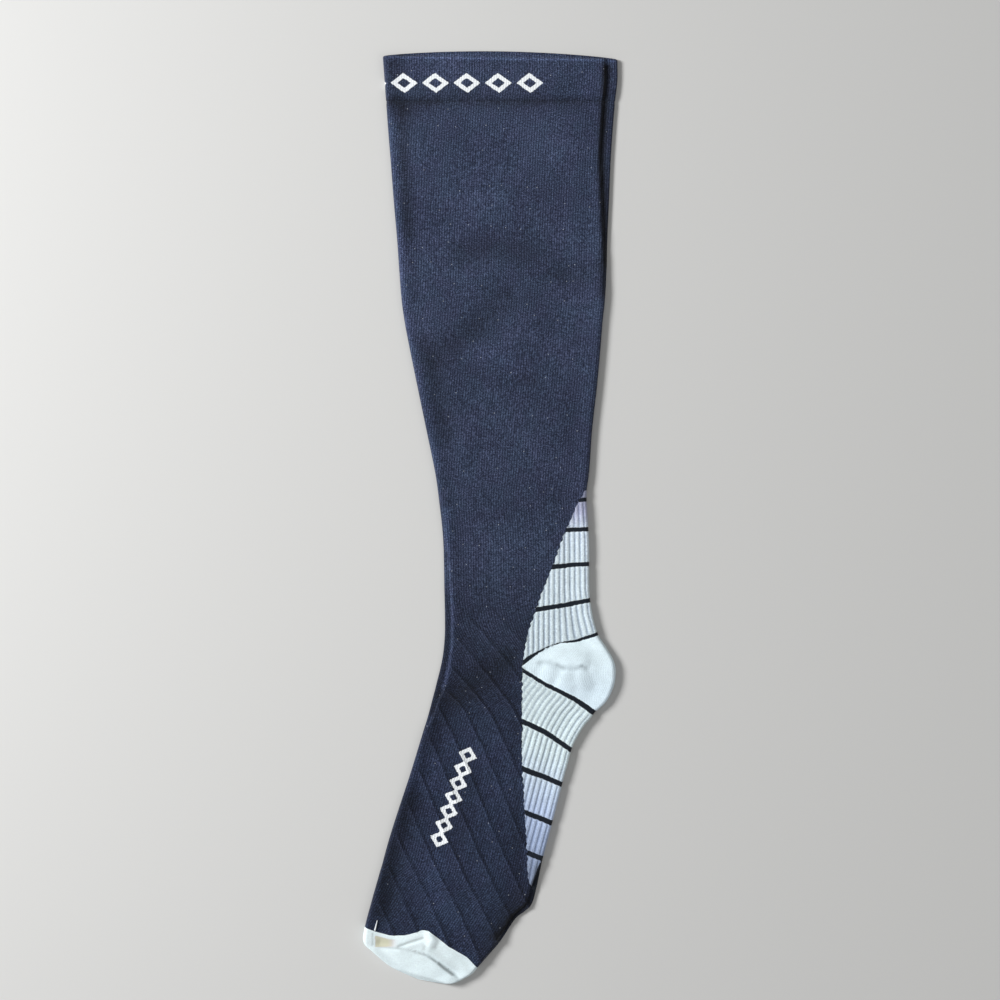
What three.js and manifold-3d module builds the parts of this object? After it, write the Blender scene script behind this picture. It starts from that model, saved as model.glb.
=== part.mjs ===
// A knee-high compression stocking that lies flat, with its mouth at +Y and its heel towards +X.
// Units are millimetres and +Z is up. The underside rests on z = 0, below the middle of the outline.
// Each zone of the knit is a wall that goes round the flat tube, open at the mouth and closed at the toe.

import * as THREE from "three";
import { mergeVertices } from "three/addons/utils/BufferGeometryUtils.js";
import Module from "manifold-3d";

const wasm = await Module();
wasm.setup();

// Driving sizes
const knitWall = 1.15;
const weltWall = 2.0;
const toeWall = 1.5;
const weltHeight = 5.0;
const leastSlit = 0.6;
const stripHeight = 2.5;
const weltStripHeight = 3.0;
const stripStep = 1.6;
const seamGap = 0.3;
const foldRadius = 2.2;
const foldRise = 0.7;
const foldSpread = 6;
const valleyDepth = 0.35;
const valleyPlace = 11;
const valleySpread = 5;
const weltFoldRise = 0.4;
const weltValleyDepth = 0.25;
const slitTip = 0.4;
const slitShoulder = 2.4;
const backRimReach = 3.0;
const rimTaper = 4.0;
const weltRings = 4;
const ankleRibPitch = 3.0;
const ankleRibs = 14;
const soleRibPitch = 3.2;
const soleRibs = 17;
const ribHeight = 0.5;
const ridgePitch = 19.7;
const ridgeStart = 289.8;
const ridgeCount = 12;
const ridgeSlope = 0.9;
const ridgeHeight = 0.45;
const ridgeHalfWidth = 0.9;
const ridgeStep = 6;

// Spacing of the rings along the tube and number of columns across it
const tubeSpacing = 9;
const tubeColumns = 16;
const soleSpacing = 7;
const heelSpacing = 2.5;
const heelColumns = 24;
const heelReach = 60;
const toeSpacing = 2.5;
const toeColumns = 20;
const slitSpacing = 12;
const slitColumns = 12;

// Reach of the solids that trim the zones, well past the cloth on every side, and how far each zone
// runs on before it is trimmed
const trimSide = 110;
const trimBelow = -10;
const trimHeight = 40;
const zoneLead = 8;
const searchStep = 0.4;

// Rows across the flat tube, from the mouth to the toe: where each meets the front fold and the back fold
const rowTable = [
  // name, frontX, frontY, backX, backY
  ["mouth", -61.9, 267.4, 74.3, 265.4],
  ["", -60.9, 254.0, 74.3, 254.0],
  ["welt seam", -60.0, 241.6, 72.9, 241.6],
  ["", -58.9, 226.0, 71.6, 226.0],
  ["upper leg", -57.4, 207.6, 70.4, 207.6],
  ["", -55.6, 184.0, 69.4, 184.0],
  ["mid leg", -53.6, 161.2, 68.4, 161.2],
  ["", -52.4, 143.8, 68.0, 143.8],
  ["calf", -51.0, 126.4, 67.0, 126.4],
  ["", -49.1, 113.0, 65.6, 113.0],
  ["", -46.7, 100.3, 64.6, 100.3],
  ["", -42.0, 77.1, 62.5, 77.1],
  ["", -36.6, 51.0, 59.6, 51.0],
  ["", -31.6, 26.7, 57.9, 26.7],
  ["gusset tip", -29.3, 10.4, 56.3, 12.2],
  ["", -26.9, -12.8, 57.7, -12.8],
  ["ankle", -26.2, -41.8, 58.0, -41.8],
  ["", -25.9, -56.3, 59.7, -55.7],
  ["heel top", -25.9, -66.1, 62.9, -67.3],
  ["", -26.4, -74.2, 67.9, -75.4],
  ["", -27.2, -80.6, 71.9, -82.4],
  ["heel", -28.2, -85.8, 73.2, -89.3],
  ["", -29.3, -90.5, 72.0, -98.0],
  ["", -30.5, -95.1, 67.6, -106.7],
  ["heel bottom", -31.5, -99.2, 60.9, -113.1],
  ["under heel", -32.3, -102.1, 54.5, -121.2],
  ["sole bend", -33.2, -105.6, 48.4, -132.2],
  ["high arch", -35.8, -115.4, 45.2, -143.3],
  ["arch", -38.9, -125.3, 42.3, -153.7],
  ["mid foot", -45.6, -147.3, 36.5, -176.3],
  ["fore foot", -52.5, -168.2, 31.0, -197.2],
  ["sole tip", -57.7, -184.4, 27.7, -212.9],
  ["", -60.8, -195.4, 24.6, -223.9],
  ["ball", -62.3, -201.0, 20.2, -228.6],
  ["", -64.1, -207.1, 14.7, -233.1],
  ["", -68.7, -223.3, 6.0, -246.0],
  ["toe line", -72.8, -239.5, -6.7, -260.4],
  ["", -72.8, -246.5, -9.6, -263.9],
  ["", -68.1, -251.1, -14.2, -266.8],
  ["toe curve", -58.3, -259.3, -20.6, -269.7],
  ["toe end", -43.2, -267.4, -28.1, -270.3],
];

// Rows of the ribs under the arch, which run straight on past the heel instead of round it: the first
// point only gives the row's direction, and the second lies on the sole fold or on its straight extension
const soleRowTable = [
  // name, towardX, towardY, backX, backY
  ["heel", -15.6, -45.5, 71.0, -95.5],
  ["heel bottom", -24.8, -61.6, 60.9, -113.1],
  ["under heel", -32.1, -71.2, 54.5, -121.2],
  ["sole bend", -39.9, -85.2, 48.4, -132.2],
  ["high arch", -46.8, -104.3, 45.2, -143.3],
  ["arch", -52.0, -120.3, 42.3, -153.7],
  ["mid foot", -57.8, -143.0, 36.5, -176.3],
  ["fore foot", -64.1, -163.0, 29.9, -197.2],
  ["sole tip", -69.0, -179.0, 24.1, -212.9],
  ["toe line", -90.0, -208.0, -6.7, -260.4],
];

// Width of the low strip where the lower panel shows beside the upper one, at the back and the front fold
const stripTable = [
  // row name, width at the back, width at the front
  ["mouth", 7.6, 0],
  ["welt seam", 6.9, 0],
  ["upper leg", 6.4, 0],
  ["mid leg", 2.6, 0],
  ["calf", 0, 0],
  ["gusset tip", 0, 0],
  ["ankle", 0, 3.9],
  ["heel top", 0, 4.3],
  ["heel bottom", 0, 4.8],
  ["high arch", 0, 2.8],
  ["arch", 0, 0],
  ["fore foot", 0, 0],
  ["sole tip", 3.4, 0],
  ["ball", 3.8, 0],
  ["toe line", 0, 0],
];

// Height of the flattened cloth, away from its folds
const heightTable = [
  // row name, height
  ["mouth", 4.2],
  ["welt seam", 4.0],
  ["calf", 3.6],
  ["ankle", 3.5],
  ["heel top", 3.8],
  ["heel bottom", 3.8],
  ["arch", 3.6],
  ["sole tip", 3.6],
  ["toe line", 4.4],
  ["toe curve", 4.0],
  ["toe end", 3.0],
];

// Broad soft swells of the cloth
const swellTable = [
  // x, y, half width, half length, rise
  [50, -88, 17, 13, 2.3],
  [-42, -249, 24, 8, 0.8],
  [-11, 87, 16, 12, 0.5],
  [-34, 213, 14, 16, 0.4],
  [30, 108, 20, 12, 0.35],
  [-20, -208, 13, 20, 0.5],
];

// Creases and raised folds along short paths
const foldTable = [
  // name, width, rise, path
  ["front valley", 4.0, -0.6, [[-54, 234], [-53, 190]]],
  ["calf dip", 7.0, -0.6, [[-18, 152], [0, 157], [21, 154]]],
  ["calf slant", 7.0, -0.6, [[11, 129], [-5, 112], [-20, 97]]],
  ["back dip", 5.0, -0.5, [[48, 143], [62, 146]]],
  ["shin valley", 5.0, -0.6, [[-30, 94], [-28, 68], [-21, 45]]],
  ["instep crease", 6.0, -0.8, [[-18, -99], [-3, -88], [13, -83]]],
  ["toe valley", 5.0, -0.6, [[-54, -205], [-59, -230]]],
  ["heel crease", 2.4, -1.3, [[28, -83.5], [36, -83.3], [42, -86], [50, -87.2], [57, -86]]],
  ["heel trough", 2.8, -0.9, [[39.5, -88], [37, -96]]],
  ["toe fold", 2.6, -1.5, [[-66, -248], [-53, -249], [-42, -250.6], [-34, -254.3], [-21, -264]]],
  ["toe pucker", 2.4, 1.2, [[-34.5, -241], [-33.1, -243.8], [-33.9, -247.3]]],
];

// Edges of the pale zones and the toe, each drawn as on the upper panel and the same on the lower one
const ankleEdge = [
  [58.3, 19.8], [51.3, 9.3], [46.9, -1.7], [43.6, -8.5], [38, -24.1], [30.2, -44.1], [22.4, -66.1],
  [19.1, -85.5],
];
const soleEdge = [
  [19.1, -86.1], [19, -105.6], [19, -146.2], [20.9, -174.6], [22, -200.1], [22.6, -210], [26.5, -217.8],
];
const heelTopEdge = [
  [19.1, -85.5], [29.3, -77.7], [39.1, -72.8], [51.3, -70.8], [62.9, -67.6], [trimSide, -55],
];
const heelBottomEdge = [
  [19.1, -86.1], [29.9, -94.5], [45.5, -102.7], [53.6, -107.3], [62.3, -112.8], [trimSide, -140],
];
const toeEdge = [
  [-trimSide, -228], [-71.6, -237.2], [-65, -239.8], [-58.1, -241.6], [-48, -241.6], [-39.1, -238.6],
  [-35.7, -238.6], [-23.1, -248.2], [-13, -254.3], [-6.7, -260.7], [20, -290],
];

// Plain bands across the ribs: x and y where the middle of each meets the back fold
const bandHalfWidth = 1.4;
const ankleBands = [[56.5, 11], [57, -6.4], [58, -26.7], [58.8, -48.1]];
const soleBands = [[47.8, -134], [42.4, -154.3], [36.3, -176.3], [29.9, -197.2]];

function readRows(table) {
  return table.map(([name, frontX, frontY, backX, backY]) => ({
    name,
    front: new THREE.Vector2(frontX, frontY),
    back: new THREE.Vector2(backX, backY),
  }));
}

// Station of each row: the distance from the mouth along the middle of the tube
const rows = readRows(rowTable);
const rowStations = [0];
for (let index = 1; index < rows.length; index += 1) {
  const middle = rows[index].front.clone().add(rows[index].back).multiplyScalar(0.5);
  const before = rows[index - 1].front.clone().add(rows[index - 1].back).multiplyScalar(0.5);
  rowStations.push(rowStations[index - 1] + middle.distanceTo(before));
}

function stationOf(name) {
  return rowStations[rows.findIndex((row) => row.name === name)];
}

function smooth(share) {
  return share * share * (3 - 2 * share);
}

// A function that gives the row at any station, on smooth curves through a table's rows
function rowFinder(tableRows, stations) {
  const frontFold = new THREE.SplineCurve(tableRows.map((row) => row.front));
  const backFold = new THREE.SplineCurve(tableRows.map((row) => row.back));
  return (station) => {
    let index = 0;
    while (index < stations.length - 2 && stations[index + 1] < station) {
      index += 1;
    }
    const share = (station - stations[index]) / (stations[index + 1] - stations[index]);
    const place = THREE.MathUtils.clamp((index + share) / (stations.length - 1), 0, 1);
    const front = frontFold.getPoint(place);
    const back = backFold.getPoint(place);
    return { station, front, back, width: front.distanceTo(back) };
  };
}

const rowAt = rowFinder(rows, rowStations);
const soleRows = readRows(soleRowTable);
const soleRowAt = rowFinder(soleRows, soleRows.map((row) => stationOf(row.name)));

function baseHeight(station) {
  let index = 0;
  while (index < heightTable.length - 2 && stationOf(heightTable[index + 1][0]) < station) {
    index += 1;
  }
  const [startName, startHeight] = heightTable[index];
  const [endName, endHeight] = heightTable[index + 1];
  const length = stationOf(endName) - stationOf(startName);
  const share = THREE.MathUtils.clamp((station - stationOf(startName)) / length, 0, 1);
  return startHeight + (endHeight - startHeight) * smooth(share);
}

// Widths of the low strips at a station, at the back and at the front fold
function stripWidths(station) {
  let index = 0;
  while (index < stripTable.length - 2 && stationOf(stripTable[index + 1][0]) < station) {
    index += 1;
  }
  const [startName, startBack, startFront] = stripTable[index];
  const [endName, endBack, endFront] = stripTable[index + 1];
  const length = stationOf(endName) - stationOf(startName);
  const share = THREE.MathUtils.clamp((station - stationOf(startName)) / length, 0, 1);
  return [startBack + (endBack - startBack) * share, startFront + (endFront - startFront) * share];
}

// Lowers a height to that of the strip next to either fold
function withStrips(height, low, row, fromBack) {
  const [backWidth, frontWidth] = stripWidths(row.station);
  const held = Math.max(0, 1 - Math.max(backWidth, frontWidth) / foldRadius);
  const inward = Math.min(fromBack - backWidth, row.width - fromBack - frontWidth);
  const share = Math.max(smooth(THREE.MathUtils.clamp(inward / stripStep + 0.5, 0, 1)), held);
  return Math.min(height, low) + Math.max(height - low, 0) * share;
}

function distanceToPath(x, y, path) {
  let least = Infinity;
  for (let index = 1; index < path.length; index += 1) {
    const [startX, startY] = path[index - 1];
    const alongX = path[index][0] - startX;
    const alongY = path[index][1] - startY;
    const share = ((x - startX) * alongX + (y - startY) * alongY) / (alongX * alongX + alongY * alongY);
    const held = THREE.MathUtils.clamp(share, 0, 1);
    least = Math.min(least, Math.hypot(x - startX - held * alongX, y - startY - held * alongY));
  }
  return least;
}

function bell(distance, width) {
  return Math.exp(-((distance / width) ** 2));
}

// Height of the upper face: the cloth stands a little proud at its springy side folds, with a shallow
// valley inside each, and the swells and creases are added to that.
function clothHeight(row, fromBack) {
  const spot = row.back.clone().lerp(row.front, fromBack / row.width);
  const fromFold = Math.max(Math.min(fromBack, row.width - fromBack), foldRadius);
  let height = baseHeight(row.station);
  height += foldRise * bell(fromFold, foldSpread) - valleyDepth * bell(fromFold - valleyPlace, valleySpread);
  for (const [x, y, halfWidth, halfLength, rise] of swellTable) {
    height += rise * bell((spot.x - x) / halfWidth, 1) * bell((spot.y - y) / halfLength, 1);
  }
  for (const [, width, rise, path] of foldTable) {
    height += rise * bell(distanceToPath(spot.x, spot.y, path), width);
  }
  return withStrips(height, stripHeight, row, fromBack);
}

function weltCloth(row, fromBack) {
  const fromFold = Math.max(Math.min(fromBack, row.width - fromBack), foldRadius);
  const rise = weltFoldRise * bell(fromFold, foldSpread);
  const height = weltHeight + rise - weltValleyDepth * bell(fromFold - valleyPlace, valleySpread);
  return withStrips(height, weltStripHeight, row, fromBack);
}

function wallAt(station) {
  if (station <= stationOf("welt seam")) {
    return weltWall;
  }
  return station < stationOf("toe line") ? knitWall : toeWall;
}

function range(start, end, count) {
  return Array.from({ length: count + 1 }, (_, index) => start + ((end - start) * index) / count);
}

// Stations from start to end with no step longer than the spacing, and one on every table row between
function stationsBetween(start, end, spacing) {
  const marks = [start, ...rowStations.filter((station) => station > start + 1 && station < end - 1), end];
  const result = [start];
  for (let index = 1; index < marks.length; index += 1) {
    const steps = Math.max(1, Math.round((marks[index] - marks[index - 1]) / spacing));
    result.push(...range(marks[index - 1], marks[index], steps).slice(1));
  }
  return result;
}

// A corner of a ring: its way across the row from the back fold and its height
function corner(across, height) {
  return { across, height };
}

function foldCorners(height) {
  return [-90, -45, 0, 45, 90].map((degrees) => {
    const angle = THREE.MathUtils.degToRad(degrees);
    return corner(foldRadius * (1 - Math.cos(angle)), (height / 2) * (1 + Math.sin(angle)));
  });
}

// Places across a row from fold to fold, with one at each side of the step beside each strip
function wholePlaces(row, columns) {
  const [backWidth, frontWidth] = stripWidths(row.station);
  const backStep = Math.max(backWidth, foldRadius + stripStep);
  const frontStep = row.width - Math.max(frontWidth, foldRadius + stripStep);
  const middle = range(backStep + stripStep / 2, frontStep - stripStep / 2, columns - 2);
  return [backStep - stripStep / 2, ...middle, frontStep + stripStep / 2];
}

// The ring of a whole row: round the back fold, over the upper face, round the front fold, flat below
function wholeRing(row, columns, height) {
  const backCorners = foldCorners(height(row, foldRadius));
  const frontHeight = height(row, row.width - foldRadius);
  const frontCorners = foldCorners(frontHeight).map((spot) => corner(row.width - spot.across, spot.height));
  const upperCorners = wholePlaces(row, columns).map((value) => corner(value, height(row, value)));
  return [...backCorners, ...upperCorners, ...frontCorners.reverse()];
}

// The ring of the part of a row next to the back fold
function backRing(row, reach, columns, height) {
  const backCorners = foldCorners(height(row, foldRadius));
  const across = range(foldRadius, reach, columns).slice(1);
  return [...backCorners, ...across.map((value) => corner(value, height(row, value))), corner(reach, 0)];
}

// The ring of the slit between the two panels
function slitRing(row, columns, height, wall) {
  const [backWidth, frontWidth] = stripWidths(row.station);
  const backEnd = backWidth + wall;
  const frontEnd = row.width - frontWidth - wall;
  const ceiling = (across) => Math.max(height(row, across) - wall, wall + leastSlit);
  const middle = wall + leastSlit / 2;
  const across = range(backEnd + slitShoulder, frontEnd - slitShoulder, columns);
  return [
    corner(backEnd + slitShoulder, wall),
    corner(backEnd + slitTip, middle),
    ...across.map((value) => corner(value, ceiling(value))),
    corner(frontEnd - slitTip, middle),
    corner(frontEnd - slitShoulder, wall),
  ];
}

function placeRing(row, ring, shift = () => 0) {
  return ring.map(({ across, height }) => {
    const spot = row.back.clone().lerp(row.front, across / row.width);
    return new THREE.Vector3(spot.x, spot.y + shift(height), height);
  });
}

function toSolid(positions, triangles) {
  const vertProperties = new Float32Array(positions);
  const triVerts = new Uint32Array(triangles);
  return new wasm.Manifold(new wasm.Mesh({ numProp: 3, vertProperties, triVerts }));
}

function signedVolume(points, triangles) {
  let volume = 0;
  for (let index = 0; index < triangles.length; index += 3) {
    const [first, second, third] = triangles.slice(index, index + 3).map((vertex) => points[vertex]);
    volume += first.dot(second.clone().cross(third)) / 6;
  }
  return volume;
}

// A closed solid through rings of the same number of corners; each end ring's corners are also given
// flat, in the plane of that end
function loft(rings, flatStart, flatEnd) {
  const count = rings[0].length;
  const points = rings.flat();
  let triangles = [];
  for (let ring = 0; ring < rings.length - 1; ring += 1) {
    for (let index = 0; index < count; index += 1) {
      const here = ring * count + index;
      const beside = ring * count + ((index + 1) % count);
      triangles.push(here, beside, beside + count, here, beside + count, here + count);
    }
  }
  const capFaces = (flat) => {
    const contour = flat.map(({ across, height }) => new THREE.Vector2(across, height));
    const faces = THREE.ShapeUtils.triangulateShape(contour, []);
    const turn = new THREE.Vector2().subVectors(contour[faces[0][1]], contour[faces[0][0]]);
    const other = new THREE.Vector2().subVectors(contour[faces[0][2]], contour[faces[0][0]]);
    const sameWay = turn.cross(other) > 0 === THREE.ShapeUtils.area(contour) > 0;
    return sameWay ? faces : faces.map(([first, second, third]) => [first, third, second]);
  };
  const last = (rings.length - 1) * count;
  for (const [first, second, third] of capFaces(flatStart)) {
    triangles.push(first, third, second);
  }
  for (const [first, second, third] of capFaces(flatEnd)) {
    triangles.push(last + first, last + second, last + third);
  }
  if (signedVolume(points, triangles) < 0) {
    triangles = triangles.reverse();
  }
  return toSolid(points.flatMap((point) => point.toArray()), triangles);
}

function loftRows(stretch, ringOf, shiftOf = () => () => 0) {
  const flats = stretch.map(ringOf);
  const rings = stretch.map((row, index) => placeRing(row, flats[index], shiftOf(row.station)));
  return loft(rings, flats[0], flats[flats.length - 1]);
}

// A path moved sideways, to its left for a positive distance, with its corners kept sharp
function shifted(path, distance) {
  const sides = path.slice(1).map(([x, y], index) => {
    const [beforeX, beforeY] = path[index];
    return new THREE.Vector2(beforeY - y, x - beforeX).normalize();
  });
  return path.map(([x, y], index) => {
    const before = sides[Math.max(index - 1, 0)];
    const after = sides[Math.min(index, sides.length - 1)];
    const outward = before.clone().add(after).normalize();
    const reach = distance / outward.dot(before);
    return [x + outward.x * reach, y + outward.y * reach];
  });
}

// An upright solid over an outline, for trimming a zone
function upright(outline) {
  const shape = new THREE.Shape(outline.map(([x, y]) => new THREE.Vector2(x, y)));
  const block = new THREE.ExtrudeGeometry(shape, { depth: trimHeight, bevelEnabled: false });
  block.translate(0, 0, trimBelow);
  block.deleteAttribute("normal");
  block.deleteAttribute("uv");
  const merged = mergeVertices(block);
  return toSolid(merged.attributes.position.array, merged.index.array);
}

// The slit of air between the panels, from in front of the mouth to inside the toe
const weltEnd = stationOf("welt seam");
const toeEnd = stationOf("toe end");
const slitEnd = stationOf("toe curve") - toeWall;

function slit() {
  const heightAt = (row, across) => {
    const heightOf = row.station > weltEnd ? clothHeight : weltCloth;
    return heightOf(row, across);
  };
  const stations = [
    ...stationsBetween(0, weltEnd, slitSpacing),
    ...stationsBetween(weltEnd + seamGap, slitEnd, slitSpacing),
  ];
  const stretch = stations.map(rowAt);
  const flats = stretch.map((row) => slitRing(row, slitColumns, heightAt, wallAt(row.station)));
  const rings = stretch.map((row, index) => placeRing(row, flats[index]));
  const outside = rings[0].map((point) => point.clone().add(new THREE.Vector3(0, zoneLead, 0)));
  return loft([outside, ...rings], flats[0], flats[flats.length - 1]);
}

// The double band at the mouth, whose back rim reaches past its front rim
function weltSolid() {
  const stations = [0, rimTaper, ...range(rimTaper, weltEnd - seamGap / 2, weltRings).slice(1)];
  const lean = (station) => (height) => (station === 0 ? backRimReach * (1 - height / weltHeight) : 0);
  return loftRows(stations.map(rowAt), (row) => wholeRing(row, tubeColumns, weltCloth), lean);
}

// One fine raised line that winds round the ankle and foot, at a little under 45 degrees to the wales
function diagonalRidge(start) {
  const rowBeside = (fromFront) => rowAt(start + fromFront / ridgeSlope);
  let reach = foldRadius;
  while (rowBeside(reach).station < toeEnd && rowBeside(reach).width - reach > foldRadius) {
    reach += searchStep;
  }
  const crests = range(foldRadius, reach, Math.ceil(reach / ridgeStep)).map((fromFront) => {
    const row = rowBeside(fromFront);
    const spot = row.front.clone().lerp(row.back, fromFront / row.width);
    return new THREE.Vector3(spot.x, spot.y, clothHeight(row, row.width - fromFront));
  });
  const rings = crests.map((crest, index) => {
    const before = crests[Math.max(index - 1, 0)];
    const after = crests[Math.min(index + 1, crests.length - 1)];
    const side = new THREE.Vector3(before.y - after.y, after.x - before.x, 0).setLength(ridgeHalfWidth);
    const foot = crest.clone().setZ(crest.z - ridgeHeight);
    return [foot.clone().add(side), crest.clone().setZ(crest.z + ridgeHeight), foot.clone().sub(side)];
  });
  const lowSide = corner(-ridgeHalfWidth, -ridgeHeight);
  const flat = [lowSide, corner(0, ridgeHeight), corner(ridgeHalfWidth, -ridgeHeight)];
  return loft(rings, flat, flat);
}

// A rib's profile: a groove, then a flat top
const ribProfile = [0, 1, 1];
const bandSides = [-1.8, -1, 1, 1.8];

// The station of the row whose back end lies nearest to a point
function stationNear(x, y) {
  let best = 0;
  let least = Infinity;
  for (const station of range(0, toeEnd, Math.ceil(toeEnd / searchStep))) {
    const { back } = rowAt(station);
    const away = Math.hypot(back.x - x, back.y - y);
    if (away < least) {
      least = away;
      best = station;
    }
  }
  return best;
}

// Stations for a ribbed stretch, with both sides of each plain band among them
function bandedStations(start, end, spacing, bandStations) {
  const sides = bandStations.flatMap((station) => bandSides.map((share) => station + share * bandHalfWidth));
  const far = stationsBetween(start, end, spacing).filter((station) =>
    sides.every((side) => Math.abs(side - station) > spacing / 3),
  );
  return [...far, ...sides].sort((one, other) => one - other);
}

// A ribbed stretch next to the back fold; reachOf gives how far each row of it goes from the fold
function ribbedPanel(finder, start, end, spacing, bands, ribs, reachOf) {
  const bandStations = bands.map(([x, y]) => stationNear(x, y));
  const columns = ribs * ribProfile.length;
  const stretch = bandedStations(start, end, spacing, bandStations).map(finder);
  return loftRows(stretch, (row) => {
    const inBand = bandStations.some((station) => Math.abs(row.station - station) < bandHalfWidth * 1.1);
    const reach = reachOf(row);
    const ribbed = (_, fromBack) => {
      const column = Math.round((columns * (fromBack - foldRadius)) / (reach - foldRadius));
      const rib = inBand ? 0 : ribProfile[column % ribProfile.length];
      return clothHeight(row, fromBack) + ribHeight * rib;
    };
    return backRing(row, reach, columns, ribbed);
  });
}

const half = seamGap / 2;
const topCorner = [trimSide, ankleEdge[0][1]];
const soleCorner = [trimSide, soleEdge[soleEdge.length - 1][1]];
const toeCorner = [-trimSide, toeEdge[toeEdge.length - 1][1]];
const heelTopInward = heelTopEdge.slice(1).reverse();
const heelBottomInward = heelBottomEdge.slice(1).reverse();
const paleZone = [...shifted([...ankleEdge, ...soleEdge], -half), soleCorner, topCorner];
const ankleZone = [...shifted([...ankleEdge, ...heelTopEdge.slice(1)], half), topCorner];
const heelZone = shifted([...heelTopInward, ankleEdge[ankleEdge.length - 1], ...heelBottomEdge], half);
const soleZone = [...shifted([...heelBottomInward, ...soleEdge], half), soleCorner];
const toeZone = [...shifted(toeEdge, -half), toeCorner];
const toeCut = [...shifted(toeEdge, half), toeCorner];

function darkSolid() {
  const stretch = stationsBetween(weltEnd + half, stationOf("toe curve"), tubeSpacing).map(rowAt);
  let solid = loftRows(stretch, (row) => wholeRing(row, tubeColumns, clothHeight));
  for (let index = 0; index < ridgeCount; index += 1) {
    solid = solid.add(diagonalRidge(ridgeStart + index * ridgePitch));
  }
  return solid.subtract(upright(paleZone)).subtract(upright(toeCut));
}

function ankleSolid() {
  const start = stationOf("gusset tip") - zoneLead;
  const end = stationOf("heel") + zoneLead / 2;
  const innerX = rowAt(stationOf("ankle")).back.x - foldRadius - ankleRibs * ankleRibPitch;
  const reachOf = (row) => (row.width * (row.back.x - innerX)) / (row.back.x - row.front.x);
  const panel = ribbedPanel(rowAt, start, end, tubeSpacing, ankleBands, ankleRibs, reachOf);
  return panel.intersect(upright(ankleZone));
}

function soleSolid() {
  const start = stationOf("heel");
  const end = stationOf("sole tip") + zoneLead;
  const reachOf = () => foldRadius + soleRibs * soleRibPitch;
  const panel = ribbedPanel(soleRowAt, start, end, soleSpacing, soleBands, soleRibs, reachOf);
  return panel.intersect(upright(soleZone));
}

function heelSolid() {
  const stretch = stationsBetween(stationOf("ankle"), stationOf("arch"), heelSpacing).map(rowAt);
  const pocket = loftRows(stretch, (row) => backRing(row, heelReach, heelColumns, clothHeight));
  return pocket.intersect(upright(heelZone));
}

function toeSolid() {
  const stretch = stationsBetween(stationOf("fore foot"), toeEnd, toeSpacing).map(rowAt);
  return loftRows(stretch, (row) => wholeRing(row, toeColumns, clothHeight)).intersect(upright(toeZone));
}

const navy = new THREE.MeshStandardMaterial({ color: 0x2b3045, roughness: 0.9, metalness: 0 });
const pale = new THREE.MeshStandardMaterial({ color: 0xc3c8da, roughness: 0.9, metalness: 0 });
const white = new THREE.MeshStandardMaterial({ color: 0xe9ebf0, roughness: 0.9, metalness: 0 });

const hollow = slit();
const stocking = new THREE.Group();

function addPiece(name, solid, material) {
  const { vertProperties, triVerts } = solid.subtract(hollow).getMesh();
  const geometry = new THREE.BufferGeometry();
  geometry.setAttribute("position", new THREE.BufferAttribute(new Float32Array(vertProperties), 3));
  geometry.setIndex(new THREE.BufferAttribute(new Uint32Array(triVerts), 1));
  geometry.computeVertexNormals();
  const mesh = new THREE.Mesh(geometry, material);
  mesh.name = name;
  stocking.add(mesh);
}

addPiece("cuff_welt", weltSolid(), navy);
addPiece("leg_and_foot", darkSolid(), navy);
addPiece("ankle_gusset", ankleSolid(), pale);
addPiece("heel_pocket", heelSolid(), white);
addPiece("sole_gusset", soleSolid(), pale);
addPiece("toe_cap", toeSolid(), white);

export default stocking;
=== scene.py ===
"""Looks of a knee-high compression stocking that lies flat on a table, seen from above."""

import math

import bmesh
import bpy
import numpy as np
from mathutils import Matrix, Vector


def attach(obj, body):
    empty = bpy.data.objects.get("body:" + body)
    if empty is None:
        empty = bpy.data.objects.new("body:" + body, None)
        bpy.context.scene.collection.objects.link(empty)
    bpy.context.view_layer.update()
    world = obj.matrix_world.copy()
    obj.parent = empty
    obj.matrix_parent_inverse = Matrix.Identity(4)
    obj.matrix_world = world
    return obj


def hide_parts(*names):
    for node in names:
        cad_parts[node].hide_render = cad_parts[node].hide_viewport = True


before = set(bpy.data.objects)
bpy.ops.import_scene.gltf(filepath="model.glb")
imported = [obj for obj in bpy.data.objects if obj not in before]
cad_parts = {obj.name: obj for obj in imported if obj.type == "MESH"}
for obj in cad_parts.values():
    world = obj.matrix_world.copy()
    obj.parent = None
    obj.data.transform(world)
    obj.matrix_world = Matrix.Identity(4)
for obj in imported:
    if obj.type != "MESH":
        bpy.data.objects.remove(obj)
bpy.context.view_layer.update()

# Sizes in millimetres, turned into metres when a mesh is made
MM = 0.001
KNIT_WALL = 1.15
WELT_WALL = 2.0
TOE_WALL = 1.5
WELT_HEIGHT = 5.0
LEAST_SLIT = 0.6
STRIP_HEIGHT = 2.5
WELT_STRIP_HEIGHT = 3.0
STRIP_STEP = 1.6
FOLD_RADIUS = 2.2
FOLD_ARC = 3.4
FOLD_RISE = 0.7
FOLD_SPREAD = 6
VALLEY_DEPTH = 0.35
VALLEY_PLACE = 11
VALLEY_SPREAD = 5
WELT_FOLD_RISE = 0.4
WELT_VALLEY_DEPTH = 0.25
BACK_RIM_REACH = 1.0
BACK_RIM_ARCH = 5.0
RIM_TAPER = 5.0
WELT_BLEND = 4.0
SEAM_GAP = 0.06
ANKLE_RIB_PITCH = 3.0
RIB_BEND_X = 36
SOLE_RIB_PITCH = 3.2
RIB_HEIGHT = 0.5
RIB_GROOVE = 0.22
RIDGE_PITCH = 19.7
RIDGE_START = 289.8
RIDGE_SLOPE = 0.9
RIDGE_HEIGHT = 0.35
TROUGH_DEPTH = 0.55
BED_RELIEF = 0.4
STEP_DIP = 0.3
STEP_DIP_PLACE = 1.2
FAR = 1000
GRID_STEP = 4
OFF_MOTIF = 9.0
TOOTH_PITCH = 4.2
TOOTH_DEPTH = 1.0
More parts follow.
